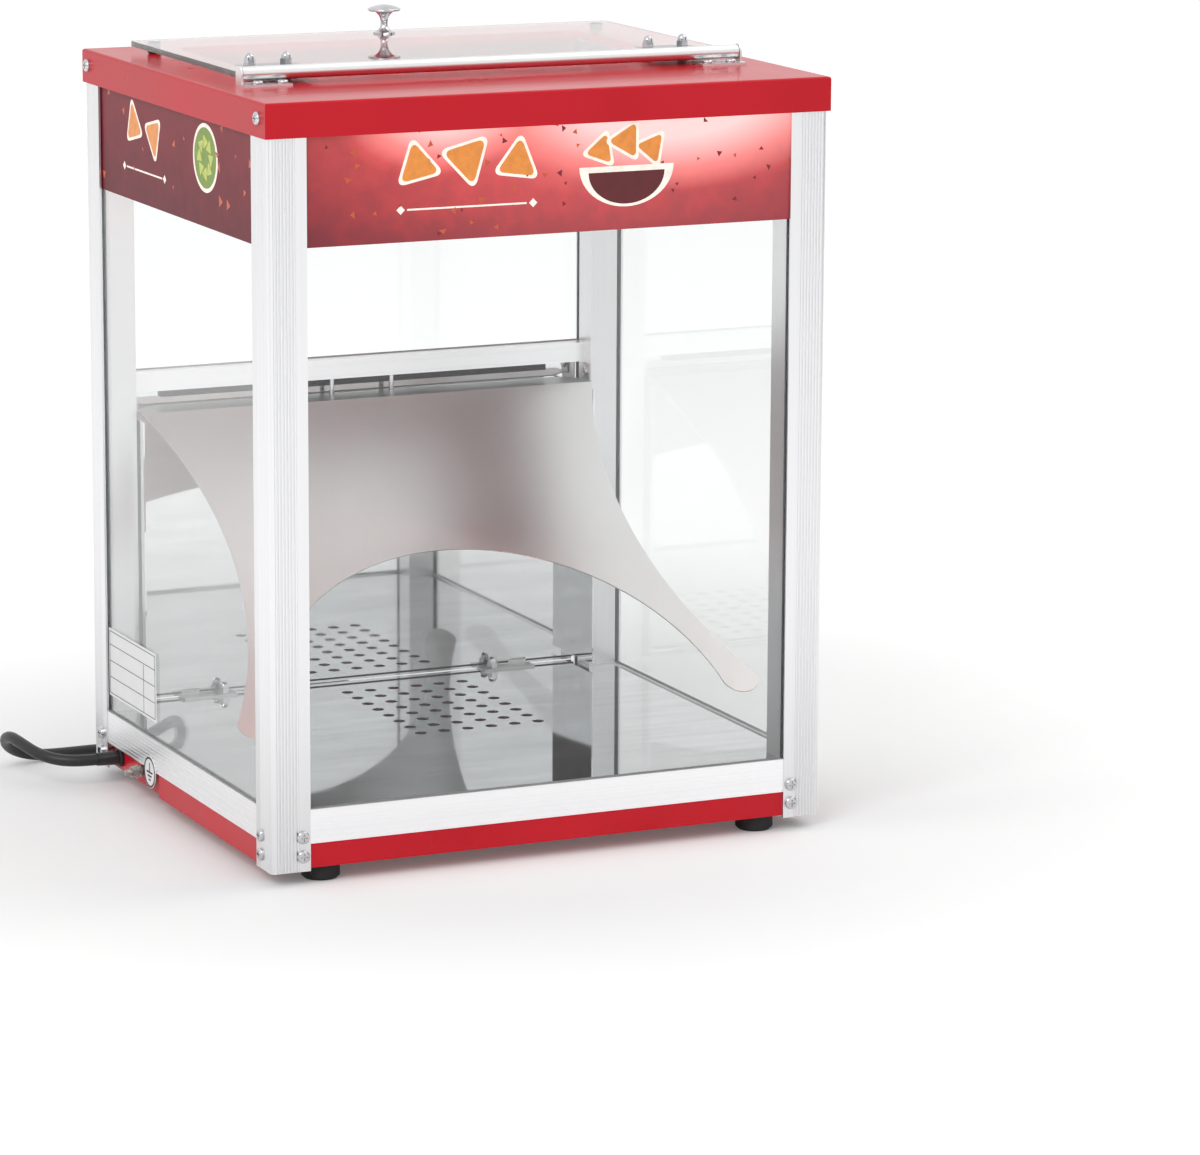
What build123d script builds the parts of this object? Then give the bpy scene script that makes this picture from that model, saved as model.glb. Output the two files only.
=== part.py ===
from build123d import *

import os
from math import cos, pi, radians, sin, sqrt, tan

# Chip warmer: a glass cabinet with a heated perforated floor, a lift-up glass lid and a tilt-out rear door.
# Millimetres, +Z up, +X to the right seen from the front, front towards -Y, standing on z = 0.

os.makedirs("parts", exist_ok=True)

# ------------------------------------------------------------------ cabinet
cap_w = 440.0  # painted cap, left to right
cap_d = 380.0  # painted cap, front to back
cap_top = 562.0  # height of its top face
cap_flange = 25.0  # depth of its turned-down edge
cap_t = 1.2  # sheet of the cap
cap_bend = 2.0  # outer radius of its bends
cap_rim = 6.0  # turned-down rim of the loading opening
load_w = 330.0  # loading opening, left to right
load_front = 25.0  # its front edge, ahead of the cabinet's middle
load_rear = 138.0  # its rear edge, behind the middle
load_round = 8.0

body_w = cap_w - 2 * cap_t  # over the posts, which fill the cap
body_d = cap_d - 2 * cap_t
post = 30.0  # square of a corner post
post_bottom = 10.0
post_round = 4.5
post_top = cap_top - cap_bend
lip = 1.6  # outer wall of every extrusion, and of the slots
slot_w = 6.0  # slot for the glass
post_slot = 10.0  # depth of a post's slots
rail_slot = 9.0  # depth of a rail's slot
flute_count = 7
flute_pitch = 2.5
flute_start = 4.0
flute_r = 1.05
flute_out = 0.35  # centre of the flute's arc, outside the face

skirt_bottom = 12.0
skirt_inset = 1.0  # skirt's face behind the posts' face
rail_bottom = 30.0
rail_top = 55.0
rail_inset = 0.5  # rail's face behind the post's face
rail_deep = 18.0  # inner face of a rail, from the posts' outer face
rib_pitch = 2.75
floor_t = 1.0
floor_under = rail_top - 2.0  # underside of the floor plate
ledge_in = lip + slot_w + lip  # where a rail's ledge for the floor starts
span_x = body_w - 2 * post  # between the posts
span_y = body_d - 2 * post
post_in_x = span_x / 2
post_in_y = span_y / 2

sheet = 1.0  # thin sheet steel: pan, panel, baffle
fit = 0.2  # clearance of sheet metal between neighbours

# ------------------------------------------------------------------ glass and signs
glass_t = 4.0
glass_in = lip + (slot_w - glass_t) / 2  # outer face of a pane behind the posts' outer face
glass_bite = 8.0  # how far a pane goes into a post's slot
gasket_t = 0.8
gasket_gap = 0.1
gasket_proud = 0.5
pane_bottom = rail_top - rail_slot + gasket_t + gasket_gap
sign_bottom = 459.0
sign_t = 3.0
sign_top_gap = 2.0
plate_w = 104.0  # blank rating plate
plate_h = 53.0
plate_t = 0.4
plate_y = 106.0
plate_z = 94.5

# ------------------------------------------------------------------ rear door and chute
door_t = 1.2
door_back = 1.4  # door's outer face ahead of the posts' rear face
door_side_gap = 1.4
door_bottom = 56.2
cross_bottom = 299.3
cross_h = 15.2
cross_deep = 19.0
door_top_gap = 1.5
cheek_deep = 38.0
cheek_top = 280.0
cheek_bottom = 58.0
cheek_round = 30.0
stop_h = 7.0
stop_w = 4.0
stop_gap = 0.3
stop_half = 160.0

handle_r = 4.0
handle_span = 96.0
handle_out = 28.0
handle_bend = 12.0
handle_z = 258.0
handle_foot_r = 7.5
handle_foot_t = 2.0

hinge_x = 125.0
hinge_w = 44.0
leaf_t = 1.5
knuckle_r = 3.0
pin_r = 1.5
pin_hold = 0.02  # clearance of the pin in the fixed knuckles
pin_clear = 0.05  # and in the door's knuckle
pin_head_r = 2.3
pin_head_t = 1.0
knuckle_mid = 15.4
knuckle_gap = 0.3
leaf_h = 18.0
leaf_lift = 0.5  # door leaf above the fixed knuckles
leaf_in = 172.0  # front edge of the fixed leaf, behind the middle
hinge_bolt_x = 112.6
hinge_bolt_y = 178.0
notch_x = 137.5
notch_w = 15.0
notch_h = 3.0

baffle_slope = 36.4  # degrees below level
baffle_y = 150.5  # bend between its flange and its slope
baffle_z = 286.2
baffle_post_gap = 2.2  # its upper corners inside the posts
baffle_top_half = post_in_x - baffle_post_gap
baffle_waist_half = 161.0
baffle_waist_v = 136.0
baffle_glass_gap = 3.6  # its tips inside the side panes
baffle_tip_half = body_w / 2 - glass_in - glass_t - baffle_glass_gap
baffle_tip_v = 314.0
arch_apex_v = 162.0
arch_r = 181.0
baffle_flange = 31.0
baffle_corner = 15.0
ear_front = 9.0
ear_w = 12.0
ear_h = 12.0
hanger_x = 25.0
hanger_v = 25.5

# ------------------------------------------------------------------ perforated floor
hole_r = 4.6
hole_cols = 6
hole_rows = 8
hole_pitch_x = 19.5
hole_pitch_y = 21.0
holes_x = 24.5
holes_y = 74.5

# ------------------------------------------------------------------ lid
lid_w = 392.0
lid_rear = 150.0
lid_axis_y = -82.0
lid_axis_up = 8.5  # above the cap's top face
roll_r = 5.0
roll_bore = 3.8
lid_glass_t = 4.0
lid_gap = 5.0  # underside of the lid's glass above the cap
tongue_plate_t = 1.2
lid_tongue_w = 46.0
lid_tongue_rear = -28.0
lid_bolt_y = -38.0
lid_bolt_in = 144.5
lid_bolt_out = 172.8
lid_corner = 3.0
bracket_t = 1.6
bracket_len = 36.0
bracket_front = 14.0  # front edge of the bracket ahead of the axis
bracket_screw_y = -9.6
bracket_screw_in = 168.0
bracket_screw_out = 187.0
bracket_screw_l = 6.0
ear_gap = 0.5
lid_ear_r = 5.5
lid_pin_r = 3.7
lid_pin_in = 12.0
knob_y = 126.0
knob_head_r = 12.7
knob_neck_r = 2.9
knob_base_r = 8.3
knob_h = 22.0
bumper_r = 5.0
bumper_in = 14.0
bumper_gap = 0.2

# ------------------------------------------------------------------ fasteners
m5_head_r = 4.8
m5_head_h = 3.0
m5_shank_r = 2.4
m4_head_r = 4.0
m4_head_h = 2.6
m4_shank_r = 2.0
hole_clear = 0.2
nut_clear = 0.1
nut_grip = 4.5  # thread inside a cap nut
knob_grip = 10.0
handle_grip = 8.0
acorn_across = 8.0
acorn_h = 9.0
post_screw_top = 35.5
post_screw_low = 21.3
post_screw_front = 24.0  # from the corner, on the front and rear faces
post_screw_side = 19.0  # from the corner, on the side faces
post_screw_l = 7.0
cap_screw_down = 11.4
cap_screw_in = 13.0

# ------------------------------------------------------------------ base
recess_deep = 4.0
recess_front = 47.0
pan_lip = 12.0
foot_r = 14.0
foot_pin_r = 4.0
foot_x = 174.0
foot_y = 170.0
panel_fold = 20.0  # depth of the control panel's folded edges
floor_rear_gap = 1.0  # floor plate ahead of the door
vent_w = 30.0
vent_h = 4.0
vent_pitch = 9.0
vent_count = 6

gland_y = 141.0
gland_z = 22.0
gland_r = 7.4
gland_t = 3.0
gland_neck_r = 5.8
gland_neck_l = 6.0
relief_l = 17.0
relief_r = 5.6
earth_y = 85.0
earth_z = 24.0
earth_r = 2.5
earth_out = 17.0
washer_r = 5.2
washer_t = 1.0
earth_nut = 8.0  # across flats
earth_nut_h = 3.8
earth_pair = 7.5  # from one washer to the next
disc_r = 12.2
disc_t = 0.6
disc_y = 64.0
disc_z = 28.0

control_z = (rail_bottom + floor_under) / 2
rocker_x = (70.0, 104.0)
bezel_w = 21.4
bezel_h = 15.0
bezel_t = 2.0
switch_w = 18.6
switch_h = 12.6
switch_deep = 16.0
rocker_l = 15.0
rocker_h = 10.0
rocker_tilt = 10.0
rocker_pivot = 3.0  # pivot behind the bezel's face
rocker_face = 3.0  # ends of its face, and its underside, from the pivot
rocker_dish = 0.9
rocker_room = 0.8
rocker_side = 0.3
rocker_well = 8.5
terminal_l = 8.0
rocker_pin_r = 1.0
pilot_x = 134.0
pilot_r = 5.0
dial_x = -80.0
dial_r = 10.5
dial_h = 13.0
dial_gap = 0.5
dial_grips = 16
shaft_r = 3.0
shaft_grip = 8.0
thermo_w = 26.0
thermo_h = 18.0
thermo_deep = 22.0

heater_r = 3.25
heater_x = 150.0
heater_y = 62.0
heater_z = 36.0
heater_bend = 30.0
heater_rack_x = 95.0
rack_foot = 12.0

tube_r = 8.0
tube_half = 148.0
tube_z = 537.0
tube_y = -166.0
batten_h = 10.0
batten_w = 22.0
holder_l = 12.0

# ------------------------------------------------------------------ mains cord
cord_r = 4.5
cord_lie = 4.7  # height of its line where it lies on the ground
cord_gap = 0.1
coil_x = 0.0
coil_y = 285.0
coil_r = 58.0
coil_lie = 5.7  # height of the lower layer's line, over the tie
coil_pitch = 11.2
coil_layer = 10.8
coil_in = 3  # half turns of the lower layer, winding in
coil_out = 4  # half turns of the upper layer, winding out
tie_w = 12.0
tie_t = 0.8
tie_gap = 0.8
tie_lie = 0.1
tie_round = 4.0
plug_r = 17.9
plug_l = 34.0
plug_tail_l = 25.0
plug_pin_r = 2.4
plug_pin_l = 19.0
plug_pin_gap = 9.5

# ------------------------------------------------------------------ worked-out places
door_out = body_d / 2 - door_back
door_in = door_out - door_t
door_half = post_in_x - door_side_gap
door_top = cross_bottom - door_top_gap
rear_reach = door_out + handle_out + handle_r
front_reach = max(cap_d / 2, body_d / 2 + m5_head_h)
left_reach = body_w / 2 - skirt_inset - recess_deep + earth_out
right_reach = cap_w / 2 + m5_head_h
mid_x = (left_reach - right_reach) / 2  # the cabinet's middle in the part's frame
mid_y = (front_reach - rear_reach) / 2
wall_left = -(body_w / 2 - skirt_inset - recess_deep)  # outer face of the recessed skirt
hinge_y = door_out + knuckle_gap + knuckle_r
hinge_z = floor_under + floor_t + knuckle_r
lid_axis_z = cap_top + lid_axis_up
lid_glass_z = cap_top + lid_gap
floor_z = floor_under + floor_t
panel_out = body_d / 2 - skirt_inset  # outer face of the control panel
cap_under = cap_top - cap_t
ear_screw_z = baffle_z + (ear_h + sheet) / 2


def level(z):
    """Horizontal plane over the cabinet's middle."""
    return Plane(origin=(mid_x, mid_y, z))


def facing_front(y):
    """Upright plane across the cabinet: local x to the right, local y up, normal to the front."""
    return Plane(origin=(mid_x, mid_y + y, 0), x_dir=(1, 0, 0), z_dir=(0, -1, 0))


def facing_right(x):
    """Upright plane along the cabinet: local x to the back, local y up, normal to the right."""
    return Plane(origin=(mid_x + x, mid_y, 0), x_dir=(0, 1, 0), z_dir=(1, 0, 0))


def spot(x, y, z, normal):
    """Plane at a point of the cabinet with the given normal, for a screw or a hole."""
    return Plane(origin=(mid_x + x, mid_y + y, z), z_dir=normal)


def pan_screw(head_r, head_h, shank_r, shank_l):
    """Cross-recessed pan-head screw: the head stands on z = 0 and the shank points down."""
    with BuildPart() as screw:
        Cylinder(head_r, head_h, align=(Align.CENTER, Align.CENTER, Align.MIN))
        fillet(screw.edges().sort_by(Axis.Z)[-1], head_h * 0.6)
        with BuildSketch(Plane.XY.offset(head_h)):
            Rectangle(head_r * 1.1, head_r * 0.22)
            Rectangle(head_r * 0.22, head_r * 1.1)
        extrude(amount=-head_h * 0.45, mode=Mode.SUBTRACT)
        Cylinder(shank_r, shank_l, align=(Align.CENTER, Align.CENTER, Align.MAX))
    return screw.part


def acorn_nut(across, height, bore_r):
    """Domed cap nut standing on z = 0, open from below."""
    dome_r = across * 0.45
    with BuildPart() as nut:
        with BuildSketch():
            RegularPolygon(across / 2, 6, major_radius=False)
        extrude(amount=height * 0.45)
        with BuildSketch(Plane.XZ):
            with BuildLine():
                Polyline((0, height), (0, 0), (dome_r, 0), (dome_r, height - dome_r))
                RadiusArc((dome_r, height - dome_r), (0, height), -dome_r)
            make_face()
        revolve(axis=Axis.Z)
        Cylinder(bore_r, height * 0.6, align=(Align.CENTER, Align.CENTER, Align.MIN), mode=Mode.SUBTRACT)
    return nut.part


# ------------------------------------------------------------------ corner posts
def corner_post(side_x, side_y):
    """Fluted square extrusion with a slot in each inner face; side_x and side_y are its corner's signs."""
    corner = (mid_x + side_x * body_w / 2, mid_y + side_y * body_d / 2, post_bottom)
    section = Plane(origin=corner, x_dir=(-side_x, 0, 0), z_dir=(0, 0, side_x * side_y))
    core = lip + slot_w + lip
    with BuildPart() as column:
        with BuildSketch(section) as outline:
            Rectangle(post, post, align=(Align.MIN, Align.MIN))
            fillet(outline.vertices().sort_by_distance((0, 0))[0], post_round)
            with Locations((post - post_slot, lip)):
                Rectangle(post_slot, slot_w, align=(Align.MIN, Align.MIN), mode=Mode.SUBTRACT)
            with Locations((lip, post - post_slot)):
                Rectangle(slot_w, post_slot, align=(Align.MIN, Align.MIN), mode=Mode.SUBTRACT)
            with Locations((core, core)):
                Rectangle(
                    post - core - lip, post - core - lip, align=(Align.MIN, Align.MIN), mode=Mode.SUBTRACT
                )
            with Locations((core / 2 + 0.6, core / 2 + 0.6)):
                Circle(m5_shank_r, mode=Mode.SUBTRACT)
            for flute in range(flute_count):
                along = flute_start + flute_pitch * (flute + 0.5)
                with Locations((along, -flute_out), (-flute_out, along)):
                    Circle(flute_r, mode=Mode.SUBTRACT)
        extrude(amount=side_x * side_y * (post_top - post_bottom))
        for height in (post_screw_top, post_screw_low):
            front = spot(
                side_x * (body_w / 2 - post_screw_front), side_y * body_d / 2, height, (0, side_y, 0)
            )
            side = spot(side_x * body_w / 2, side_y * (body_d / 2 - post_screw_side), height, (side_x, 0, 0))
            with Locations(front, side):
                Cylinder(m5_shank_r + hole_clear, 2 * (post_screw_l + 1), mode=Mode.SUBTRACT)
        cap_hole = spot(
            side_x * body_w / 2, side_y * (cap_d / 2 - cap_screw_in), cap_top - cap_screw_down, (side_x, 0, 0)
        )
        with Locations(cap_hole):
            Cylinder(m5_shank_r + hole_clear, 2 * (post_screw_l + 1), mode=Mode.SUBTRACT)
        if side_y > 0:
            ear_hole = spot(side_x * post_in_x, baffle_y + ear_front + ear_w / 2, ear_screw_z, (side_x, 0, 0))
            with Locations(ear_hole):
                Cylinder(m4_shank_r + hole_clear, 4 * lip, mode=Mode.SUBTRACT)
    return column.part



for post_name, x_sign, y_sign in (
    ("post_front_left", -1, -1),
    ("post_front_right", 1, -1),
    ("post_rear_left", -1, 1),
    ("post_rear_right", 1, 1),
):
    column_part = corner_post(x_sign, y_sign)
    column_part.label = post_name
    export_step(column_part, f"parts/{post_name}.step")

# ------------------------------------------------------------------ rails
# A rail's section is drawn with local x inward from the posts' outer face and local y up.
front_end = Plane(origin=(mid_x - post_in_x, mid_y - body_d / 2, 0), x_dir=(0, 1, 0), z_dir=(1, 0, 0))
left_end = Plane(origin=(mid_x - body_w / 2, mid_y + post_in_y, 0), x_dir=(1, 0, 0), z_dir=(0, -1, 0))
right_end = Plane(origin=(mid_x + body_w / 2, mid_y - post_in_y, 0), x_dir=(-1, 0, 0), z_dir=(0, 1, 0))
rear_end = Plane(origin=(mid_x + post_in_x, mid_y + body_d / 2, 0), x_dir=(0, -1, 0), z_dir=(-1, 0, 0))


def glass_rail(end, length):
    """Ribbed rail with a slot for a pane on top and a ledge for the floor plate inside."""
    slot_out = lip + slot_w
    with BuildPart() as rail:
        with BuildSketch(end):
            with BuildLine():
                Polyline(
                    (rail_inset, rail_bottom),
                    (rail_deep, rail_bottom),
                    (rail_deep, floor_under),
                    (ledge_in, floor_under),
                    (ledge_in, rail_top),
                    (slot_out, rail_top),
                    (slot_out, rail_top - rail_slot),
                    (lip, rail_top - rail_slot),
                    (lip, rail_top),
                    (rail_inset, rail_top),
                    close=True,
                )
            make_face()
            with Locations((rail_inset + lip, rail_bottom + lip)):
                Rectangle(
                    rail_deep - rail_inset - 2 * lip,
                    rail_top - rail_slot - rail_bottom - 2 * lip,
                    align=(Align.MIN, Align.MIN),
                    mode=Mode.SUBTRACT,
                )
            for rib in range(int((rail_top - rail_bottom) / rib_pitch)):
                with Locations((rail_inset, rail_bottom + rib_pitch * (rib + 0.5))):
                    Rectangle(0.8, 0.7, mode=Mode.SUBTRACT)
        extrude(amount=length)
    return rail.part


for rail_name, rail_end, rail_length in (
    ("rail_front", front_end, span_x),
    ("rail_left", left_end, span_y),
    ("rail_right", right_end, span_y),
):
    rail_part = glass_rail(rail_end, rail_length)
    rail_part.label = rail_name
    export_step(rail_part, f"parts/{rail_name}.step")

with BuildPart() as cross_rail:
    with BuildSketch(rear_end):
        with Locations((rail_inset, cross_bottom)):
            Rectangle(cross_deep - rail_inset, cross_h, align=(Align.MIN, Align.MIN))
        with Locations((lip, cross_bottom + cross_h - rail_slot)):
            Rectangle(slot_w, rail_slot, align=(Align.MIN, Align.MIN), mode=Mode.SUBTRACT)
        with Locations((ledge_in, cross_bottom + lip)):
            Rectangle(
                cross_deep - ledge_in - lip,
                cross_h - 2 * lip,
                align=(Align.MIN, Align.MIN),
                mode=Mode.SUBTRACT,
            )
        with Locations((cross_deep, cross_bottom + 2.6), (cross_deep, cross_bottom + cross_h - 3.4)):
            Rectangle(0.9, 0.9, mode=Mode.SUBTRACT)
    extrude(amount=span_x)
    with Locations(*[spot(x, baffle_y + hanger_v, cross_bottom, (0, 0, 1)) for x in (-hanger_x, hanger_x)]):
        Cylinder(m4_shank_r + hole_clear, 4 * lip, mode=Mode.SUBTRACT)
cross_rail.part.label = "cross_rail"
export_step(cross_rail.part, "parts/cross_rail.step")

# ------------------------------------------------------------------ base
skirt_x = body_w / 2 - skirt_inset
skirt_y = body_d / 2 - skirt_inset
arm_x = post_in_x - fit
arm_y = post_in_y - fit


def pan_outline(inset):
    """The pan's plan between the posts, drawn in by inset."""
    with BuildSketch() as outline:
        Rectangle(2 * skirt_x, 2 * arm_y)
        Rectangle(2 * arm_x, 2 * skirt_y)
        with Locations((-skirt_x, (recess_front + post_in_y) / 2)):
            Rectangle(2 * recess_deep, post_in_y - recess_front, mode=Mode.SUBTRACT)
        offset(amount=-inset, kind=Kind.INTERSECTION)
    return outline.sketch


with BuildPart() as base_pan:
    with BuildSketch(level(skirt_bottom)):
        add(pan_outline(0))
    extrude(amount=rail_bottom - skirt_bottom)
    with BuildSketch(level(skirt_bottom + sheet)):
        add(pan_outline(sheet))
    extrude(amount=rail_bottom - skirt_bottom - 2 * sheet, mode=Mode.SUBTRACT)
    with BuildSketch(level(rail_bottom - sheet)):
        add(pan_outline(pan_lip))
    extrude(amount=sheet, mode=Mode.SUBTRACT)
    with BuildSketch(level(skirt_bottom)):
        with GridLocations(vent_w * 2, vent_pitch, 2, vent_count):
            SlotOverall(vent_w, vent_h)
        with GridLocations(2 * foot_x, 2 * foot_y, 2, 2):
            Circle(foot_pin_r)
    extrude(amount=sheet, mode=Mode.SUBTRACT)
    with Locations(spot(wall_left, gland_y, gland_z, (1, 0, 0))):
        Cylinder(gland_neck_r + hole_clear, 4 * sheet, mode=Mode.SUBTRACT)
    with Locations(spot(wall_left, earth_y, earth_z, (1, 0, 0))):
        Cylinder(earth_r + hole_clear, 4 * sheet, mode=Mode.SUBTRACT)
base_pan.part.label = "base_pan"
export_step(base_pan.part, "parts/base_pan.step")

with BuildPart() as control_panel:
    with BuildSketch(facing_right(-arm_x)):
        with Locations((panel_out, rail_bottom)):
            Rectangle(panel_fold, floor_under - rail_bottom, align=(Align.MAX, Align.MIN))
        with Locations((panel_out - sheet, rail_bottom + sheet)):
            Rectangle(
                panel_fold,
                floor_under - rail_bottom - 2 * sheet,
                align=(Align.MAX, Align.MIN),
                mode=Mode.SUBTRACT,
            )
    extrude(amount=2 * arm_x)
    with BuildSketch(facing_front(panel_out)):
        with Locations(*[(x, control_z) for x in rocker_x]):
            Rectangle(switch_w + 2 * fit, switch_h + 2 * fit)
        with Locations((dial_x, control_z)):
            Circle(shaft_r + hole_clear)
        with Locations((pilot_x, control_z)):
            Circle(pilot_r - 1 + hole_clear)
    extrude(amount=sheet, both=True, mode=Mode.SUBTRACT)
    with Locations(*[spot(x, hinge_bolt_y, floor_under, (0, 0, 1)) for x in (-hinge_bolt_x, hinge_bolt_x)]):
        Cylinder(m4_shank_r + hole_clear, 4 * sheet, mode=Mode.SUBTRACT)
control_panel.part.label = "control_panel"
export_step(control_panel.part, "parts/control_panel.step")

with BuildPart() as floor_plate:
    with BuildSketch(level(floor_under)):
        half_x = body_w / 2 - ledge_in - fit
        half_y = body_d / 2 - ledge_in - fit
        with BuildLine():
            Polyline(
                (-arm_x, -half_y),
                (arm_x, -half_y),
                (arm_x, -arm_y),
                (half_x, -arm_y),
                (half_x, arm_y),
                (arm_x, arm_y),
                (arm_x, door_in - floor_rear_gap),
                (-arm_x, door_in - floor_rear_gap),
                (-arm_x, arm_y),
                (-half_x, arm_y),
                (-half_x, -arm_y),
                (-arm_x, -arm_y),
                close=True,
            )
        make_face()
        with Locations((holes_x, holes_y)):
            with GridLocations(hole_pitch_x, hole_pitch_y, hole_cols, hole_rows):
                Circle(hole_r, mode=Mode.SUBTRACT)
        with Locations((-hinge_bolt_x, hinge_bolt_y), (hinge_bolt_x, hinge_bolt_y)):
            Circle(m4_shank_r + hole_clear, mode=Mode.SUBTRACT)
    extrude(amount=floor_t)
floor_plate.part.label = "floor_plate"
export_step(floor_plate.part, "parts/floor_plate.step")

foot_points = [
    (foot_r - 2.0, 0),
    (foot_r, 2.0),
    (foot_r, skirt_bottom - 1.0),
    (foot_r - 1.0, skirt_bottom),
    (foot_pin_r - fit, skirt_bottom),
    (foot_pin_r - fit, skirt_bottom + 3 * sheet),
]


def turned(base, outline):
    """Solid of revolution about a plane's normal, from (radius, height) points that close on the axis."""
    profile = Plane(origin=base.origin, x_dir=base.x_dir, z_dir=-base.y_dir)
    with BuildPart() as solid:
        with BuildSketch(profile):
            with BuildLine():
                Polyline((0, outline[0][1]), *outline, (0, outline[-1][1]), close=True)
            make_face()
        revolve(axis=Axis(base.origin, base.z_dir))
    return solid.part


def set_of(piece, places):
    """The same piece at several planes, as one node of separate solids."""
    with BuildPart() as pieces:
        with Locations(*places):
            add(piece)
    return pieces.part


feet = set_of(
    turned(Plane.XY, foot_points),
    [spot(x, y, 0, (0, 0, 1)) for x in (-foot_x, foot_x) for y in (-foot_y, foot_y)],
)
feet.label = "feet"
export_step(feet, "parts/feet.step")

# ------------------------------------------------------------------ glass, signs and their gaskets
pane_x = post_in_x + glass_bite  # half width of the front and rear panes
pane_y = post_in_y + glass_bite
rear_pane_bottom = cross_bottom + cross_h - rail_slot + gasket_t + gasket_gap


def upright_pane(name, centre, size, bottom, top):
    """Flat pane standing between two heights, given by its centre and size in plan."""
    with BuildPart() as pane:
        with BuildSketch(level(bottom)):
            with Locations(centre):
                Rectangle(*size)
        extrude(amount=top - bottom)
    pane.part.label = name
    export_step(pane.part, f"parts/{name}.step")
    return pane.part


front_line = -(body_d / 2 - glass_in)  # outer faces of the panes
side_line = body_w / 2 - glass_in
sign_top = cap_under - sign_top_gap
upright_pane("front_glass", (0, front_line + glass_t / 2), (2 * pane_x, glass_t), pane_bottom, sign_bottom)
upright_pane("left_glass", (-side_line + glass_t / 2, 0), (glass_t, 2 * pane_y), pane_bottom, sign_bottom)
upright_pane("right_glass", (side_line - glass_t / 2, 0), (glass_t, 2 * pane_y), pane_bottom, sign_bottom)
upright_pane("rear_glass", (0, -front_line - glass_t / 2), (2 * pane_x, glass_t), rear_pane_bottom, sign_top)
upright_pane("front_sign", (0, front_line + sign_t / 2), (2 * pane_x, sign_t), sign_bottom, sign_top)
upright_pane("left_sign", (-side_line + sign_t / 2, 0), (sign_t, 2 * pane_y), sign_bottom, sign_top)
upright_pane("right_sign", (side_line - sign_t / 2, 0), (sign_t, 2 * pane_y), sign_bottom, sign_top)

with BuildPart() as glass_gaskets:
    for strip_end, strip_l, slot_floor in (
        (front_end, span_x, rail_top - rail_slot),
        (left_end, span_y, rail_top - rail_slot),
        (right_end, span_y, rail_top - rail_slot),
        (rear_end, span_x, cross_bottom + cross_h - rail_slot),
    ):
        with BuildSketch(strip_end):
            with Locations((lip + gasket_gap, slot_floor)):
                Rectangle(
                    slot_w - 2 * gasket_gap, rail_slot + gasket_proud, align=(Align.MIN, Align.MIN)
                )
            with Locations((lip + gasket_gap + gasket_t, slot_floor + gasket_t)):
                Rectangle(
                    slot_w - 2 * gasket_gap - 2 * gasket_t,
                    rail_slot + gasket_proud,
                    align=(Align.MIN, Align.MIN),
                    mode=Mode.SUBTRACT,
                )
        extrude(amount=strip_l)
glass_gaskets.part.label = "glass_gaskets"
export_step(glass_gaskets.part, "parts/glass_gaskets.step")

with BuildPart() as data_plate:
    with BuildSketch(facing_right(-side_line)):
        with Locations((plate_y, plate_z)):
            Rectangle(plate_w, plate_h)
    extrude(amount=-plate_t)
data_plate.part.label = "data_plate"
export_step(data_plate.part, "parts/data_plate.step")

# ------------------------------------------------------------------ cap
load_mid = (load_rear - load_front) / 2
with BuildPart() as cap_inside:
    with BuildSketch(level(cap_top - cap_flange)):
        Rectangle(body_w, body_d)
    extrude(amount=cap_flange - cap_t)
    fillet(cap_inside.edges().group_by(Axis.Z)[-1], cap_bend - cap_t)

cap_screw_places = [
    spot(x * cap_w / 2, y * (cap_d / 2 - cap_screw_in), cap_top - cap_screw_down, (x, 0, 0))
    for x in (-1, 1)
    for y in (-1, 1)
]
bracket_screw_places = [
    spot(side * x, lid_axis_y + bracket_screw_y, cap_top + bracket_t, (0, 0, 1))
    for side in (-1, 1)
    for x in (bracket_screw_in, bracket_screw_out)
]
with BuildPart() as top_cap:
    with BuildSketch(level(cap_top - cap_flange)):
        Rectangle(cap_w, cap_d)
    extrude(amount=cap_flange)
    fillet(top_cap.edges().group_by(Axis.Z)[-1], cap_bend)
    add(cap_inside.part, mode=Mode.SUBTRACT)
    with BuildSketch(level(cap_top - cap_rim)):
        with Locations((0, load_mid)):
            RectangleRounded(load_w + 2 * cap_t, load_rear + load_front + 2 * cap_t, load_round + cap_t)
    extrude(amount=cap_rim - cap_t)
    with BuildSketch(level(cap_top - cap_rim)):
        with Locations((0, load_mid)):
            RectangleRounded(load_w, load_rear + load_front, load_round)
    extrude(amount=cap_rim, mode=Mode.SUBTRACT)
    with Locations(*cap_screw_places):
        Cylinder(m5_shank_r + hole_clear, 4 * cap_t, mode=Mode.SUBTRACT)
    with Locations(*bracket_screw_places):
        Cylinder(m4_shank_r + hole_clear, 4 * (cap_t + bracket_t), mode=Mode.SUBTRACT)
top_cap.part.label = "top_cap"
export_step(top_cap.part, "parts/top_cap.step")

cap_screws = set_of(pan_screw(m5_head_r, m5_head_h, m5_shank_r, post_screw_l), cap_screw_places)
cap_screws.label = "cap_screws"
export_step(cap_screws, "parts/cap_screws.step")

post_screw_places = []
for x in (-1, 1):
    for y in (-1, 1):
        for height in (post_screw_top, post_screw_low):
            post_screw_places.append(
                spot(x * (body_w / 2 - post_screw_front), y * body_d / 2, height, (0, y, 0))
            )
            post_screw_places.append(
                spot(x * body_w / 2, y * (body_d / 2 - post_screw_side), height, (x, 0, 0))
            )
post_screws = set_of(pan_screw(m5_head_r, m5_head_h, m5_shank_r, post_screw_l), post_screw_places)
post_screws.label = "post_screws"
export_step(post_screws, "parts/post_screws.step")

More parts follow.
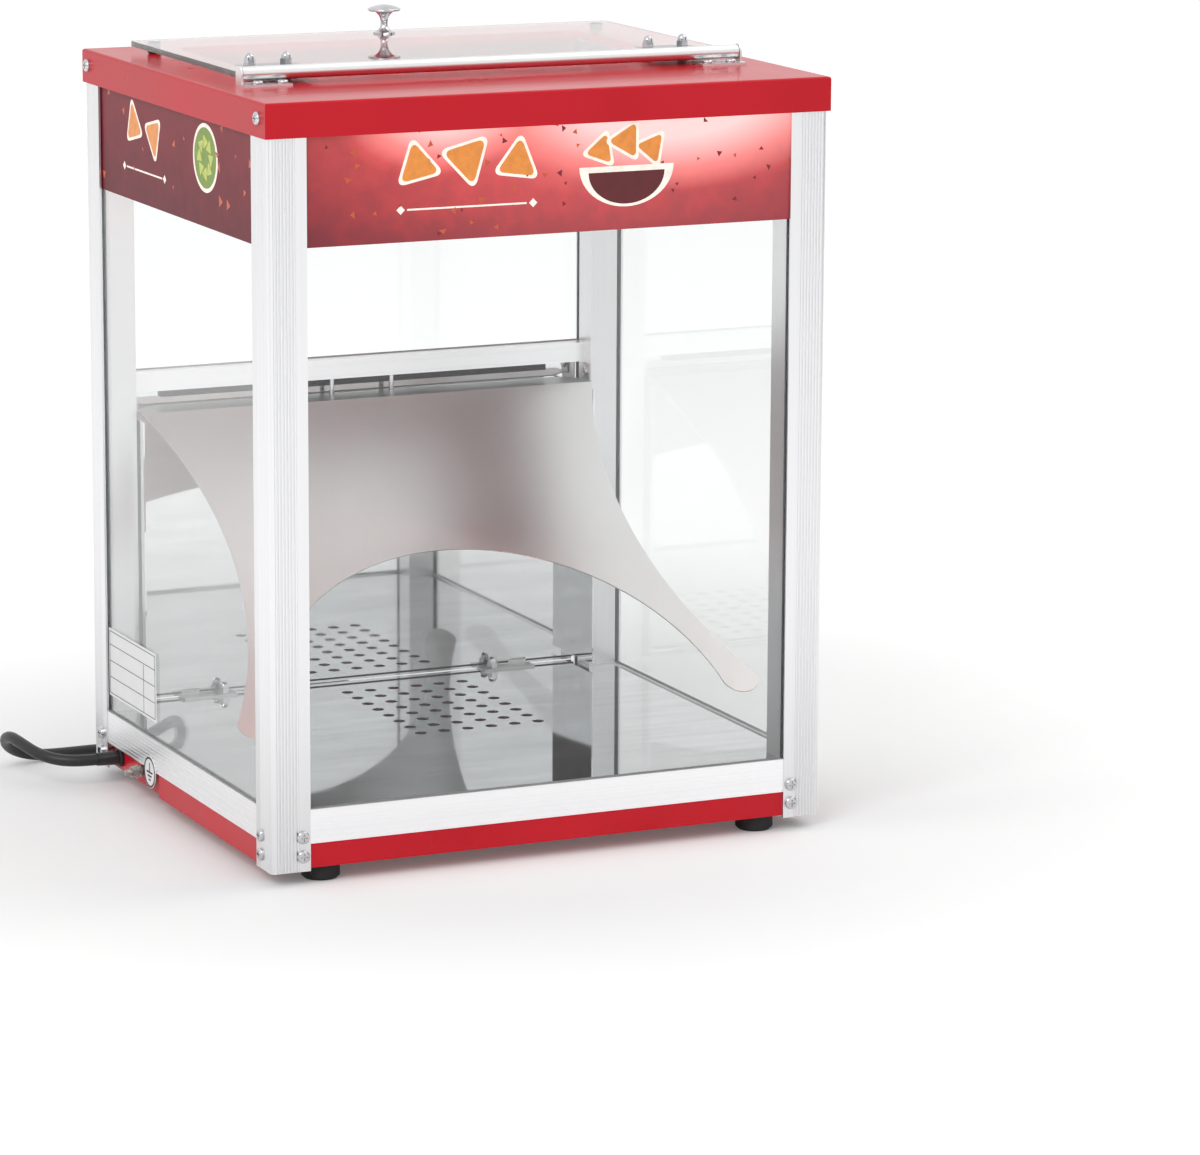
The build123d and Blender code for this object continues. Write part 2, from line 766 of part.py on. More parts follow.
# ------------------------------------------------------------------ lid
lid_tongue_x = (lid_bolt_in + lid_bolt_out) / 2
lid_bolt_spots = [(side * x, lid_bolt_y) for side in (-1, 1) for x in (lid_bolt_in, lid_bolt_out)]
lid_glass_front = lid_axis_y + roll_r + fit
lid_glass_top = lid_glass_z + lid_glass_t

with BuildPart() as lid_glass:
    with BuildSketch(level(lid_glass_z)) as lid_plan:
        with Locations((0, (lid_glass_front + lid_rear) / 2)):
            Rectangle(lid_w, lid_rear - lid_glass_front)
        fillet(lid_plan.vertices(), lid_corner)
        with Locations(*lid_bolt_spots, (0, knob_y)):
            Circle(m4_shank_r + hole_clear, mode=Mode.SUBTRACT)
    extrude(amount=lid_glass_t)
lid_glass.part.label = "lid_glass"
export_step(lid_glass.part, "parts/lid_glass.step")

with BuildPart() as lid_rail:
    with BuildSketch(facing_right(-lid_w / 2)):
        with Locations((lid_axis_y, lid_axis_z)):
            Circle(roll_r)
    extrude(amount=lid_w)
    with BuildSketch(level(lid_glass_z - tongue_plate_t)):
        with Locations(*[(side * lid_tongue_x, (lid_axis_y + lid_tongue_rear) / 2) for side in (-1, 1)]):
            Rectangle(lid_tongue_w, lid_tongue_rear - lid_axis_y)
        with Locations(*lid_bolt_spots):
            Circle(m4_shank_r + hole_clear, mode=Mode.SUBTRACT)
    extrude(amount=tongue_plate_t)
    with BuildSketch(facing_right(-lid_w / 2)):
        with Locations((lid_axis_y, lid_axis_z)):
            Circle(roll_bore)
    extrude(amount=lid_w, mode=Mode.SUBTRACT)
lid_rail.part.label = "lid_rail"
export_step(lid_rail.part, "parts/lid_rail.step")

with BuildPart() as lid_brackets:
    for side in (-1, 1):
        ear_in = lid_w / 2 + ear_gap
        plate_mid = ear_in + bracket_t - bracket_len / 2
        with BuildSketch(level(cap_top)):
            with Locations((side * plate_mid, lid_axis_y - bracket_front)):
                Rectangle(bracket_len, bracket_front + lid_ear_r, align=(Align.CENTER, Align.MIN))
        extrude(amount=bracket_t)
        with BuildSketch(facing_right(side * ear_in)):
            with Locations((lid_axis_y, lid_axis_z)):
                Circle(lid_ear_r)
            with Locations((lid_axis_y, cap_top)):
                Rectangle(2 * lid_ear_r, lid_axis_up, align=(Align.CENTER, Align.MIN))
        extrude(amount=side * bracket_t)
        with BuildSketch(facing_right(side * ear_in)):
            with Locations((lid_axis_y, lid_axis_z)):
                Circle(lid_pin_r)
        extrude(amount=-side * (lid_pin_in + ear_gap))
    with Locations(*bracket_screw_places):
        Cylinder(m4_shank_r + hole_clear, 4 * bracket_t, mode=Mode.SUBTRACT)
lid_brackets.part.label = "lid_brackets"
export_step(lid_brackets.part, "parts/lid_brackets.step")

bracket_screws = set_of(pan_screw(m4_head_r, m4_head_h, m4_shank_r, bracket_screw_l), bracket_screw_places)
bracket_screws.label = "bracket_screws"
export_step(bracket_screws, "parts/bracket_screws.step")

lid_bolt_l = tongue_plate_t + lid_glass_t + nut_grip
with BuildPart() as lid_bolts:
    with Locations(*[spot(x, y, lid_glass_z - tongue_plate_t, (0, 0, -1)) for x, y in lid_bolt_spots]):
        add(pan_screw(m4_head_r, m4_head_h, m4_shank_r, lid_bolt_l))
    with Locations(spot(0, knob_y, lid_glass_z, (0, 0, -1))):
        add(pan_screw(m4_head_r, m4_head_h, m4_shank_r, lid_glass_t + knob_grip))
lid_bolts.part.label = "lid_bolts"
export_step(lid_bolts.part, "parts/lid_bolts.step")

lid_acorn_nuts = set_of(
    acorn_nut(acorn_across, acorn_h, m4_shank_r + nut_clear),
    [spot(x, y, lid_glass_top, (0, 0, 1)) for x, y in lid_bolt_spots],
)
lid_acorn_nuts.label = "lid_acorn_nuts"
export_step(lid_acorn_nuts, "parts/lid_acorn_nuts.step")

with BuildPart() as lid_knob:
    with BuildSketch(Plane(origin=(mid_x, mid_y + knob_y, lid_glass_top), x_dir=(1, 0, 0), z_dir=(0, -1, 0))):
        with BuildLine():
            Line((0, 0), (knob_base_r, 0))
            Line((knob_base_r, 0), (knob_base_r, 1.2))
            ThreePointArc((knob_base_r, 1.2), (knob_neck_r + 1.2, 3.6), (knob_neck_r, 8.5))
            ThreePointArc((knob_neck_r, 8.5), (knob_neck_r + 2.2, 14.6), (knob_head_r - 0.6, 17.2))
            ThreePointArc((knob_head_r - 0.6, 17.2), (knob_head_r, 18.2), (knob_head_r - 0.7, 19.2))
            TangentArc((0, knob_h), (knob_head_r - 0.7, 19.2), tangent=(1, 0))
            Line((0, knob_h), (0, 0))
        make_face()
    revolve(axis=Axis((mid_x, mid_y + knob_y, lid_glass_top), (0, 0, 1)))
    with Locations(spot(0, knob_y, lid_glass_top, (0, 0, 1))):
        Cylinder(
            m4_shank_r + nut_clear,
            knob_grip + 1,
            align=(Align.CENTER, Align.CENTER, Align.MIN),
            mode=Mode.SUBTRACT,
        )
lid_knob.part.label = "lid_knob"
export_step(lid_knob.part, "parts/lid_knob.step")

bumper_h = lid_gap - bumper_gap
lid_bumpers = set_of(
    turned(Plane.XY, [(bumper_r - 1.0, 0), (bumper_r, 1.0), (bumper_r, bumper_h)]),
    [
        spot(side * (lid_w / 2 - bumper_in), lid_rear - bumper_in, cap_top + bumper_gap, (0, 0, 1))
        for side in (-1, 1)
    ],
)
lid_bumpers.label = "lid_bumpers"
export_step(lid_bumpers, "parts/lid_bumpers.step")

# ------------------------------------------------------------------ lamp behind the front sign
with BuildPart() as lamp_batten:
    with BuildSketch(level(cap_under - batten_h)):
        with Locations((0, tube_y)):
            Rectangle(2 * (tube_half + holder_l), batten_w)
    extrude(amount=batten_h)
    fillet(lamp_batten.edges().filter_by(Axis.X).group_by(Axis.Z)[0], 2.0)
    for side in (-1, 1):
        with BuildSketch(facing_right(side * tube_half)):
            with Locations((tube_y, tube_z)):
                Circle(batten_w / 2)
            with Locations((tube_y, tube_z)):
                Rectangle(batten_w, cap_under - batten_h - tube_z + 1, align=(Align.CENTER, Align.MIN))
        extrude(amount=side * holder_l)
lamp_batten.part.label = "lamp_batten"
export_step(lamp_batten.part, "parts/lamp_batten.step")

with BuildPart() as lamp_tube:
    with BuildSketch(facing_right(-tube_half)):
        with Locations((tube_y, tube_z)):
            Circle(tube_r)
    extrude(amount=2 * tube_half)
    fillet(lamp_tube.edges(), 1.0)
lamp_tube.part.label = "lamp_tube"
export_step(lamp_tube.part, "parts/lamp_tube.step")

# ------------------------------------------------------------------ baffle
slope = radians(baffle_slope)
slope_plane = Plane(
    origin=(mid_x, mid_y + baffle_y, baffle_z), x_dir=(1, 0, 0), z_dir=(0, sin(slope), -cos(slope))
)
arch_half = sqrt(arch_r**2 - (arch_apex_v + arch_r - baffle_tip_v) ** 2)  # arch's half width at the tips
horn_r = (baffle_tip_half - arch_half) / 2
horn_mid = (baffle_tip_half + arch_half) / 2
with BuildPart() as baffle:
    with BuildSketch(slope_plane):
        with BuildLine():
            Line((-baffle_top_half, 0), (baffle_top_half, 0))
            ThreePointArc(
                (baffle_top_half, 0), (baffle_waist_half, baffle_waist_v), (baffle_tip_half, baffle_tip_v)
            )
            ThreePointArc(
                (baffle_tip_half, baffle_tip_v), (horn_mid, baffle_tip_v + horn_r), (arch_half, baffle_tip_v)
            )
            ThreePointArc((arch_half, baffle_tip_v), (0, arch_apex_v), (-arch_half, baffle_tip_v))
            ThreePointArc(
                (-arch_half, baffle_tip_v),
                (-horn_mid, baffle_tip_v + horn_r),
                (-baffle_tip_half, baffle_tip_v),
            )
            ThreePointArc(
                (-baffle_tip_half, baffle_tip_v), (-baffle_waist_half, baffle_waist_v), (-baffle_top_half, 0)
            )
        make_face()
    extrude(amount=sheet)
    with BuildSketch(level(baffle_z - sheet)):
        rear_edge = baffle_y + baffle_flange
        with BuildLine():
            Polyline(
                (-baffle_top_half, baffle_y),
                (baffle_top_half, baffle_y),
                (baffle_top_half, rear_edge - baffle_corner),
                (baffle_top_half - baffle_corner, rear_edge),
                (-baffle_top_half + baffle_corner, rear_edge),
                (-baffle_top_half, rear_edge - baffle_corner),
                close=True,
            )
        make_face()
        with Locations((0, baffle_y + ear_front)):
            Rectangle(2 * post_in_x, ear_w, align=(Align.CENTER, Align.MIN))
        with Locations(*[(x, baffle_y + hanger_v) for x in (-hanger_x, hanger_x)]):
            Circle(m4_shank_r + hole_clear, mode=Mode.SUBTRACT)
    extrude(amount=sheet)
    for side in (-1, 1):
        with BuildSketch(facing_right(side * post_in_x)):
            with Locations((baffle_y + ear_front + ear_w / 2, baffle_z - sheet)):
                Rectangle(ear_w, ear_h + sheet, align=(Align.CENTER, Align.MIN))
            with Locations((baffle_y + ear_front + ear_w / 2, ear_screw_z)):
                Circle(m4_shank_r + hole_clear, mode=Mode.SUBTRACT)
        extrude(amount=-side * sheet)
baffle.part.label = "baffle"
export_step(baffle.part, "parts/baffle.step")

hanger_places = [spot(x, baffle_y + hanger_v, baffle_z - sheet, (0, 0, -1)) for x in (-hanger_x, hanger_x)]
with BuildPart() as baffle_screws:
    with Locations(*hanger_places):
        add(pan_screw(m4_head_r, m4_head_h, m4_shank_r, cross_bottom - baffle_z + sheet + 2 * lip))
    for side in (-1, 1):
        ear_place = spot(
            side * (post_in_x - sheet), baffle_y + ear_front + ear_w / 2, ear_screw_z, (-side, 0, 0)
        )
        with Locations(ear_place):
            add(pan_screw(m4_head_r, m4_head_h, m4_shank_r, sheet + 2 * lip))
baffle_screws.part.label = "baffle_screws"
export_step(baffle_screws.part, "parts/baffle_screws.step")

# ------------------------------------------------------------------ rear door
with BuildPart() as rear_door:
    with BuildSketch(facing_front(door_in)):
        with Locations((0, door_bottom)):
            Rectangle(2 * door_half, door_top - door_bottom, align=(Align.CENTER, Align.MIN))
        with Locations((-notch_x, door_bottom), (notch_x, door_bottom)):
            Rectangle(notch_w, 2 * notch_h, mode=Mode.SUBTRACT)
        with Locations((-handle_span / 2, handle_z), (handle_span / 2, handle_z)):
            Circle(m4_shank_r + hole_clear, mode=Mode.SUBTRACT)
    extrude(amount=-door_t)
    for side in (-1, 1):
        with BuildSketch(facing_right(side * door_half)) as cheek:
            with Locations((door_in - cheek_deep, cheek_bottom)):
                Rectangle(cheek_deep + door_t / 2, cheek_top - cheek_bottom, align=(Align.MIN, Align.MIN))
            fillet(cheek.vertices().group_by(Axis.Z)[-1].sort_by(Axis.Y)[0], cheek_round)
        extrude(amount=-side * door_t)
rear_door.part.label = "rear_door"
export_step(rear_door.part, "parts/rear_door.step")

with BuildPart() as door_stop:
    with BuildSketch(facing_right(-stop_half)):
        with Locations((door_in - stop_gap, cross_bottom)):
            Rectangle(stop_w, stop_h, align=(Align.MAX, Align.MAX))
    extrude(amount=2 * stop_half)
door_stop.part.label = "door_stop"
export_step(door_stop.part, "parts/door_stop.step")

with BuildPart() as door_handle:
    with BuildLine(level(handle_z)) as bow:
        FilletPolyline(
            (-handle_span / 2, door_out),
            (-handle_span / 2, door_out + handle_out),
            (handle_span / 2, door_out + handle_out),
            (handle_span / 2, door_out),
            radius=handle_bend,
        )
    with BuildSketch(Plane(bow.line ^ 0)):
        Circle(handle_r)
    sweep()
    with Locations(*[spot(x * handle_span / 2, door_out, handle_z, (0, 1, 0)) for x in (-1, 1)]):
        Cylinder(handle_foot_r, handle_foot_t, align=(Align.CENTER, Align.CENTER, Align.MIN))
        Cylinder(
            m4_shank_r + nut_clear,
            handle_grip + 1,
            align=(Align.CENTER, Align.CENTER, Align.MIN),
            mode=Mode.SUBTRACT,
        )
door_handle.part.label = "door_handle"
export_step(door_handle.part, "parts/door_handle.step")

handle_screws = set_of(
    pan_screw(m4_head_r, m4_head_h, m4_shank_r, door_t + handle_grip),
    [spot(x * handle_span / 2, door_in, handle_z, (0, -1, 0)) for x in (-1, 1)],
)
handle_screws.label = "handle_screws"
export_step(handle_screws, "parts/handle_screws.step")

# ------------------------------------------------------------------ door hinges
leaf_plate_z = hinge_z + knuckle_r + leaf_lift
with BuildPart() as hinge_fixed:
    with BuildSketch(level(floor_z)):
        with Locations((-hinge_x, leaf_in), (hinge_x, leaf_in)):
            Rectangle(hinge_w, hinge_y - leaf_in, align=(Align.CENTER, Align.MIN))
        with Locations((-hinge_bolt_x, hinge_bolt_y), (hinge_bolt_x, hinge_bolt_y)):
            Circle(m4_shank_r + hole_clear, mode=Mode.SUBTRACT)
    extrude(amount=leaf_t)
    for side in (-1, 1):
        with BuildSketch(facing_right(side * hinge_x - hinge_w / 2)):
            with Locations((hinge_y, hinge_z)):
                Circle(knuckle_r)
        extrude(amount=hinge_w)
        with BuildSketch(facing_right(side * hinge_x - knuckle_mid / 2 - knuckle_gap)):
            with Locations((hinge_y, hinge_z)):
                Rectangle(2 * (knuckle_r + knuckle_gap), 4 * knuckle_r)
        extrude(amount=knuckle_mid + 2 * knuckle_gap, mode=Mode.SUBTRACT)
        with BuildSketch(facing_right(side * hinge_x - hinge_w / 2)):
            with Locations((hinge_y, hinge_z)):
                Circle(pin_r + pin_hold)
        extrude(amount=hinge_w, mode=Mode.SUBTRACT)
hinge_fixed.part.label = "hinge_fixed"
export_step(hinge_fixed.part, "parts/hinge_fixed.step")

with BuildPart() as hinge_door_leaves:
    for side in (-1, 1):
        with BuildSketch(facing_front(door_out)):
            with Locations((side * hinge_x, leaf_plate_z)):
                Rectangle(hinge_w, leaf_h, align=(Align.CENTER, Align.MIN))
            with Locations((side * hinge_x, hinge_z)):
                Rectangle(knuckle_mid, leaf_plate_z - hinge_z, align=(Align.CENTER, Align.MIN))
        extrude(amount=-leaf_t)
        with BuildSketch(facing_right(side * hinge_x - knuckle_mid / 2)):
            with Locations((hinge_y, hinge_z)):
                Circle(knuckle_r)
        extrude(amount=knuckle_mid)
        with BuildSketch(facing_right(side * hinge_x - knuckle_mid / 2)):
            with Locations((hinge_y, hinge_z)):
                Circle(pin_r + pin_clear)
        extrude(amount=knuckle_mid, mode=Mode.SUBTRACT)
hinge_door_leaves.part.label = "hinge_door_leaves"
export_step(hinge_door_leaves.part, "parts/hinge_door_leaves.step")

hinge_pins = set_of(
    turned(
        Plane.XY,
        [
            (pin_head_r, -pin_head_t),
            (pin_head_r, 0),
            (pin_r, 0),
            (pin_r, hinge_w),
            (pin_head_r, hinge_w),
            (pin_head_r, hinge_w + pin_head_t),
        ],
    ),
    [spot(side * hinge_x - hinge_w / 2, hinge_y, hinge_z, (1, 0, 0)) for side in (-1, 1)],
)
hinge_pins.label = "hinge_pins"
export_step(hinge_pins, "parts/hinge_pins.step")

hinge_bolt_pair = (-hinge_bolt_x, hinge_bolt_x)
with BuildPart() as hinge_bolts:
    with Locations(*[spot(x, hinge_bolt_y, floor_under - sheet, (0, 0, -1)) for x in hinge_bolt_pair]):
        add(pan_screw(m4_head_r, m4_head_h, m4_shank_r, sheet + floor_t + leaf_t + nut_grip))
    with Locations(*[spot(x, hinge_bolt_y, floor_z + leaf_t, (0, 0, 1)) for x in hinge_bolt_pair]):
        add(acorn_nut(acorn_across, acorn_h, m4_shank_r + nut_clear))
hinge_bolts.part.label = "hinge_bolts"
export_step(hinge_bolts.part, "parts/hinge_bolts.step")

# ------------------------------------------------------------------ controls in the rear panel
bezel_out = panel_out + bezel_t
pivot_y = bezel_out - rocker_pivot
with BuildPart() as switch_housings:
    for x in rocker_x:
        with BuildSketch(facing_front(panel_out)):
            with Locations((x, control_z)):
                RectangleRounded(bezel_w, bezel_h, 1.5)
        extrude(amount=-bezel_t)
        with BuildSketch(facing_front(panel_out)):
            with Locations((x, control_z)):
                Rectangle(switch_w, switch_h)
        extrude(amount=switch_deep)
        with BuildSketch(facing_front(bezel_out)):
            with Locations((x, control_z)):
                Rectangle(rocker_l + 2 * rocker_room, rocker_h + 2 * rocker_side)
        extrude(amount=rocker_well, mode=Mode.SUBTRACT)
        with Locations(spot(x, pivot_y, control_z, (0, 0, 1))):
            Cylinder(rocker_pin_r + nut_clear, switch_h + 1, mode=Mode.SUBTRACT)
        with BuildSketch(facing_front(panel_out - switch_deep)):
            with GridLocations(6.0, 0, 2, 1):
                with Locations((x, control_z)):
                    Rectangle(0.8, 4.8)
        extrude(amount=terminal_l)
switch_housings.part.label = "switch_housings"
export_step(switch_housings.part, "parts/switch_housings.step")

tilt = radians(rocker_tilt)


def rocker(x):
    """Rocker standing at OFF: a shallow V across its face, turned about its pin."""
    half = rocker_l / 2
    corners = [(-half, rocker_face), (0, rocker_face - rocker_dish), (half, rocker_face)]
    corners += [(half - 1, -rocker_face), (-half + 1, -rocker_face)]
    turned_corners = [(u * cos(tilt) - v * sin(tilt), u * sin(tilt) + v * cos(tilt)) for u, v in corners]
    pivot = Plane(origin=(mid_x + x, mid_y + pivot_y, control_z))
    with BuildPart() as key:
        with BuildSketch(pivot):
            with BuildLine():
                Polyline(*turned_corners, close=True)
            make_face()
        extrude(amount=rocker_h / 2, both=True)
        with BuildSketch(pivot):
            Circle(rocker_pin_r)
        extrude(amount=switch_h / 2, both=True)
    return key.part


for key_name, key_x in zip(("heat_rocker", "light_rocker"), rocker_x):
    key_part = rocker(key_x)
    key_part.label = key_name
    export_step(key_part, f"parts/{key_name}.step")

pilot_lamp = set_of(
    turned(
        Plane.XY,
        [
            (pilot_r - 1, -12),
            (pilot_r - 1, 0),
            (pilot_r, 0),
            (pilot_r, 1.5),
            (pilot_r - 1.2, 3.2),
            (1.5, 4.0),
        ],
    ),
    [spot(pilot_x, panel_out, control_z, (0, 1, 0))],
)
pilot_lamp.label = "pilot_lamp"
export_step(pilot_lamp, "parts/pilot_lamp.step")

with BuildPart() as thermostat_body:
    with BuildSketch(facing_front(panel_out - sheet)):
        with Locations((dial_x, control_z)):
            RectangleRounded(thermo_w, thermo_h, 2.0)
    extrude(amount=thermo_deep)
    with BuildSketch(facing_front(panel_out - sheet)):
        with Locations((dial_x, control_z)):
            Circle(shaft_r)
    extrude(amount=-(sheet + dial_gap + shaft_grip))
thermostat_body.part.label = "thermostat_body"
export_step(thermostat_body.part, "parts/thermostat_body.step")

dial_place = spot(dial_x, panel_out + dial_gap, control_z, (0, 1, 0))
with BuildPart() as thermostat_knob:
    add(
        turned(
            dial_place,
            [
                (dial_r, 0),
                (dial_r, 2.5),
                (dial_r - 2.0, 3.5),
                (dial_r - 2.5, dial_h - 1.0),
                (dial_r - 3.5, dial_h),
            ],
        )
    )
    with BuildSketch(dial_place):
        Circle(shaft_r + nut_clear)
    extrude(amount=shaft_grip + 0.5, mode=Mode.SUBTRACT)
    with BuildSketch(facing_front(panel_out + dial_gap + dial_h)):
        with Locations((dial_x, control_z + dial_r / 2 - 1)):
            Rectangle(1.2, dial_r - 2)
    extrude(amount=0.8, mode=Mode.SUBTRACT)
    with BuildSketch(dial_place):
        with PolarLocations(dial_r, dial_grips):
            Circle(0.9)
    extrude(amount=dial_h, mode=Mode.SUBTRACT)
thermostat_knob.part.label = "thermostat_knob"
export_step(thermostat_knob.part, "parts/thermostat_knob.step")

# ------------------------------------------------------------------ heater under the floor
with BuildPart() as heating_element:
    with BuildLine(level(heater_z)) as heater_line:
        FilletPolyline(
            (-heater_x, -heater_y),
            (heater_x, -heater_y),
            (heater_x, heater_y),
            (-heater_x, heater_y),
            radius=heater_bend,
        )
    with BuildSketch(Plane(heater_line.line ^ 0)):
        Circle(heater_r)
    sweep()
heating_element.part.label = "heating_element"
export_step(heating_element.part, "parts/heating_element.step")

pan_floor = skirt_bottom + sheet
with BuildPart() as heater_brackets:
    for side in (-1, 1):
        with BuildSketch(facing_right(side * heater_rack_x)):
            with Locations((0, pan_floor)):
                Rectangle(
                    2 * heater_y + 4 * heater_r,
                    heater_z + 2 * heater_r - pan_floor,
                    align=(Align.CENTER, Align.MIN),
                )
            with Locations((0, heater_z)):
                Rectangle(2 * heater_y - 6 * heater_r, 3 * heater_r, mode=Mode.SUBTRACT)
            with Locations((-heater_y, heater_z), (heater_y, heater_z)):
                Circle(heater_r + nut_clear, mode=Mode.SUBTRACT)
        extrude(amount=sheet)
        with BuildSketch(level(pan_floor)):
            with Locations((side * heater_rack_x, 0)):
                Rectangle(rack_foot, 2 * heater_y + 4 * heater_r, align=(Align.MIN, Align.CENTER))
        extrude(amount=sheet)
heater_brackets.part.label = "heater_brackets"
export_step(heater_brackets.part, "parts/heater_brackets.step")

# ------------------------------------------------------------------ earth terminal
with BuildPart() as earth_terminal:
    with Locations(spot(wall_left, earth_y, earth_z, (-1, 0, 0))):
        Cylinder(earth_r, earth_out, align=(Align.CENTER, Align.CENTER, Align.MIN))
    with Locations(spot(wall_left + sheet, earth_y, earth_z, (1, 0, 0))):
        Cylinder(earth_r, sheet, align=(Align.CENTER, Align.CENTER, Align.MAX))
        with BuildSketch(spot(wall_left + sheet, earth_y, earth_z, (1, 0, 0))):
            RegularPolygon(earth_nut / 2, 6, major_radius=False)
        extrude(amount=earth_nut_h)
    for along in (0, earth_pair):
        with Locations(spot(wall_left - along, earth_y, earth_z, (-1, 0, 0))):
            Cylinder(washer_r, washer_t, align=(Align.CENTER, Align.CENTER, Align.MIN))
        with BuildSketch(spot(wall_left - along - washer_t, earth_y, earth_z, (-1, 0, 0))):
            RegularPolygon(earth_nut / 2, 6, major_radius=False)
        extrude(amount=earth_nut_h)
earth_terminal.part.label = "earth_terminal"
export_step(earth_terminal.part, "parts/earth_terminal.step")

with BuildPart() as earth_disc:
    with BuildSketch(facing_right(-(body_w / 2 - rail_inset))):
        with Locations((disc_y, disc_z)):
            Circle(disc_r)
    extrude(amount=-disc_t)
earth_disc.part.label = "earth_disc"
export_step(earth_disc.part, "parts/earth_disc.step")

# ------------------------------------------------------------------ mains cord
relief_out = wall_left - gland_t - relief_l  # where the cord leaves its sleeve
gland_place = spot(wall_left, gland_y, gland_z, (-1, 0, 0))
strain_relief = turned(
    gland_place,
    [
        (gland_neck_r + 0.6, -sheet - gland_neck_l),
        (gland_neck_r + 0.6, -sheet - fit),
        (gland_neck_r, -sheet - fit),
        (gland_neck_r, 0),
        (gland_r, 0),
        (gland_r, gland_t - 0.6),
        (gland_r - 0.6, gland_t),
        (relief_r, gland_t),
        (cord_r + 0.5, gland_t + relief_l),
    ],
)
strain_relief.label = "strain_relief"
export_step(strain_relief, "parts/strain_relief.step")

# The cord's line, chosen by hand: out of the sleeve, round to the back and along the table to the coil.
coil_in_at = (coil_x - 2 * cord_r, coil_y - coil_r, coil_lie)
cord_route = [
    (relief_out, gland_y, gland_z),
    (-248.8, 141.0, 22.0),
    (-264.5, 147.5, 21.7),
    (-276.5, 159.5, 21.4),
    (-283.0, 175.2, 20.8),
    (-283.7, 194.2, 19.5),
    (-277.8, 212.3, 16.8),
    (-265.8, 227.0, 13.0),
    (-248.6, 237.0, 9.0),
    (-228.0, 240.7, 6.0),
    (-203.0, 238.5, 4.8),
    (-171.0, 232.6, cord_lie),
    (-133.0, 228.6, cord_lie),
    (-92.0, 227.0, 4.9),
    (-50.0, coil_in_at[1], coil_lie),
    coil_in_at,
]
coil_out_at = (
    coil_x + 2 * cord_r,
    coil_y - coil_r - (coil_out - coil_in) * coil_pitch / 2,
    coil_lie + coil_layer,
)
tail_route = [
    coil_out_at,
    (coil_out_at[0] + 19, coil_out_at[1], coil_out_at[2]),
    (coil_out_at[0] + 39, coil_out_at[1] + 1.9, plug_r + cord_gap),
    (coil_out_at[0] + 59, coil_out_at[1] + 6.4, plug_r + cord_gap),
]


def bend_radii(route):
    """Radius of the arc at each corner: 0.45 of the shorter run over the tangent of half the turn."""
    radii = []
    for before, corner, after in zip(route, route[1:], route[2:]):
        arriving = Vector(*corner) - Vector(*before)
        leaving = Vector(*after) - Vector(*corner)
        half_turn = radians(arriving.get_angle(leaving) / 2)
        radii.append(0.45 * min(arriving.length, leaving.length) / tan(half_turn))
    return radii


def cord_tube(route):
    """Round cord along straight runs joined by tangent arcs."""
    with BuildPart() as tube:
        with BuildLine(level(0)) as path:
            FilletPolyline(*route, radius=bend_radii(route))
        with BuildSketch(Plane(path.line ^ 0)):
            Circle(cord_r)
        sweep()
    length = path.wire().length
    share = tube.part.volume / (pi * cord_r**2 * length)
    print("cord radii", [round(r) for r in bend_radii(route)])
    print("cord length", round(length, 1), "volume over section times length", round(share, 4))
    return tube.part


for tube_name, tube_route in (("cord_run", cord_route), ("cord_tail", tail_route)):
    tube_part = cord_tube(tube_route)
    tube_part.label = tube_name
    export_step(tube_part, f"parts/{tube_name}.step")

# The put-away length: half turns winding in on the table, one climbing half turn, half turns winding out.
reaches = [coil_r - coil_pitch / 2 * turn for turn in range(coil_in + 1)]
reaches += [reaches[-1] + coil_pitch / 2 * turn for turn in range(coil_out + 1)]
coil_ends = []
for turn, reach in enumerate(reaches):
    height = coil_lie if turn <= coil_in else coil_lie + coil_layer
    coil_ends.append(Vector(coil_x, coil_y - (-1) ** turn * reach, height))
with BuildPart() as cord_coil:
    with BuildLine(level(0)) as coil_line:
        Line(coil_in_at, tuple(coil_ends[0]))
        for turn, (start, end) in enumerate(zip(coil_ends, coil_ends[1:])):
            middle = (start + end) * 0.5 + Vector((-1) ** turn * (end - start).length / 2, 0, 0)
            ThreePointArc(tuple(start), tuple(middle), tuple(end))
        Line(tuple(coil_ends[-1]), coil_out_at)
    with BuildSketch(Plane(coil_line.line ^ 0)):
        Circle(cord_r)
    sweep()
cord_coil.part.label = "cord_coil"
export_step(cord_coil.part, "parts/cord_coil.step")

samples = 700
coil_wire = coil_line.wire()
coil_points = [coil_wire @ (step / samples) for step in range(samples + 1)]
far = int(samples * 6 * cord_r / coil_wire.length)
least = min(
    (coil_points[a] - coil_points[b]).length for a in range(samples) for b in range(a + far, samples + 1)
)
share = cord_coil.part.volume / (pi * cord_r**2 * coil_wire.length)
print("coil length", round(coil_wire.length, 1), "volume over section times length", round(share, 4))
print("coil's least gap to itself", round(least - 2 * cord_r, 2))

tie_in = coil_r - (coil_in - 0.5) * coil_pitch / 2 - cord_r - tie_gap
tie_out = coil_r - coil_pitch / 4 + cord_r + tie_gap
tie_top = coil_lie + coil_layer + cord_r + tie_gap / 2
with BuildPart() as coil_tie:
    with BuildSketch(facing_front(coil_y)):
        with Locations((coil_x + (tie_in + tie_out) / 2, (tie_lie + tie_t + tie_top) / 2)):
            RectangleRounded(tie_out - tie_in + 2 * tie_t, tie_top - tie_lie + tie_t, tie_round)
            RectangleRounded(
                tie_out - tie_in, tie_top - tie_lie - tie_t, tie_round - tie_t, mode=Mode.SUBTRACT
            )
    extrude(amount=tie_w / 2, both=True)
coil_tie.part.label = "coil_tie"
export_step(coil_tie.part, "parts/coil_tie.step")

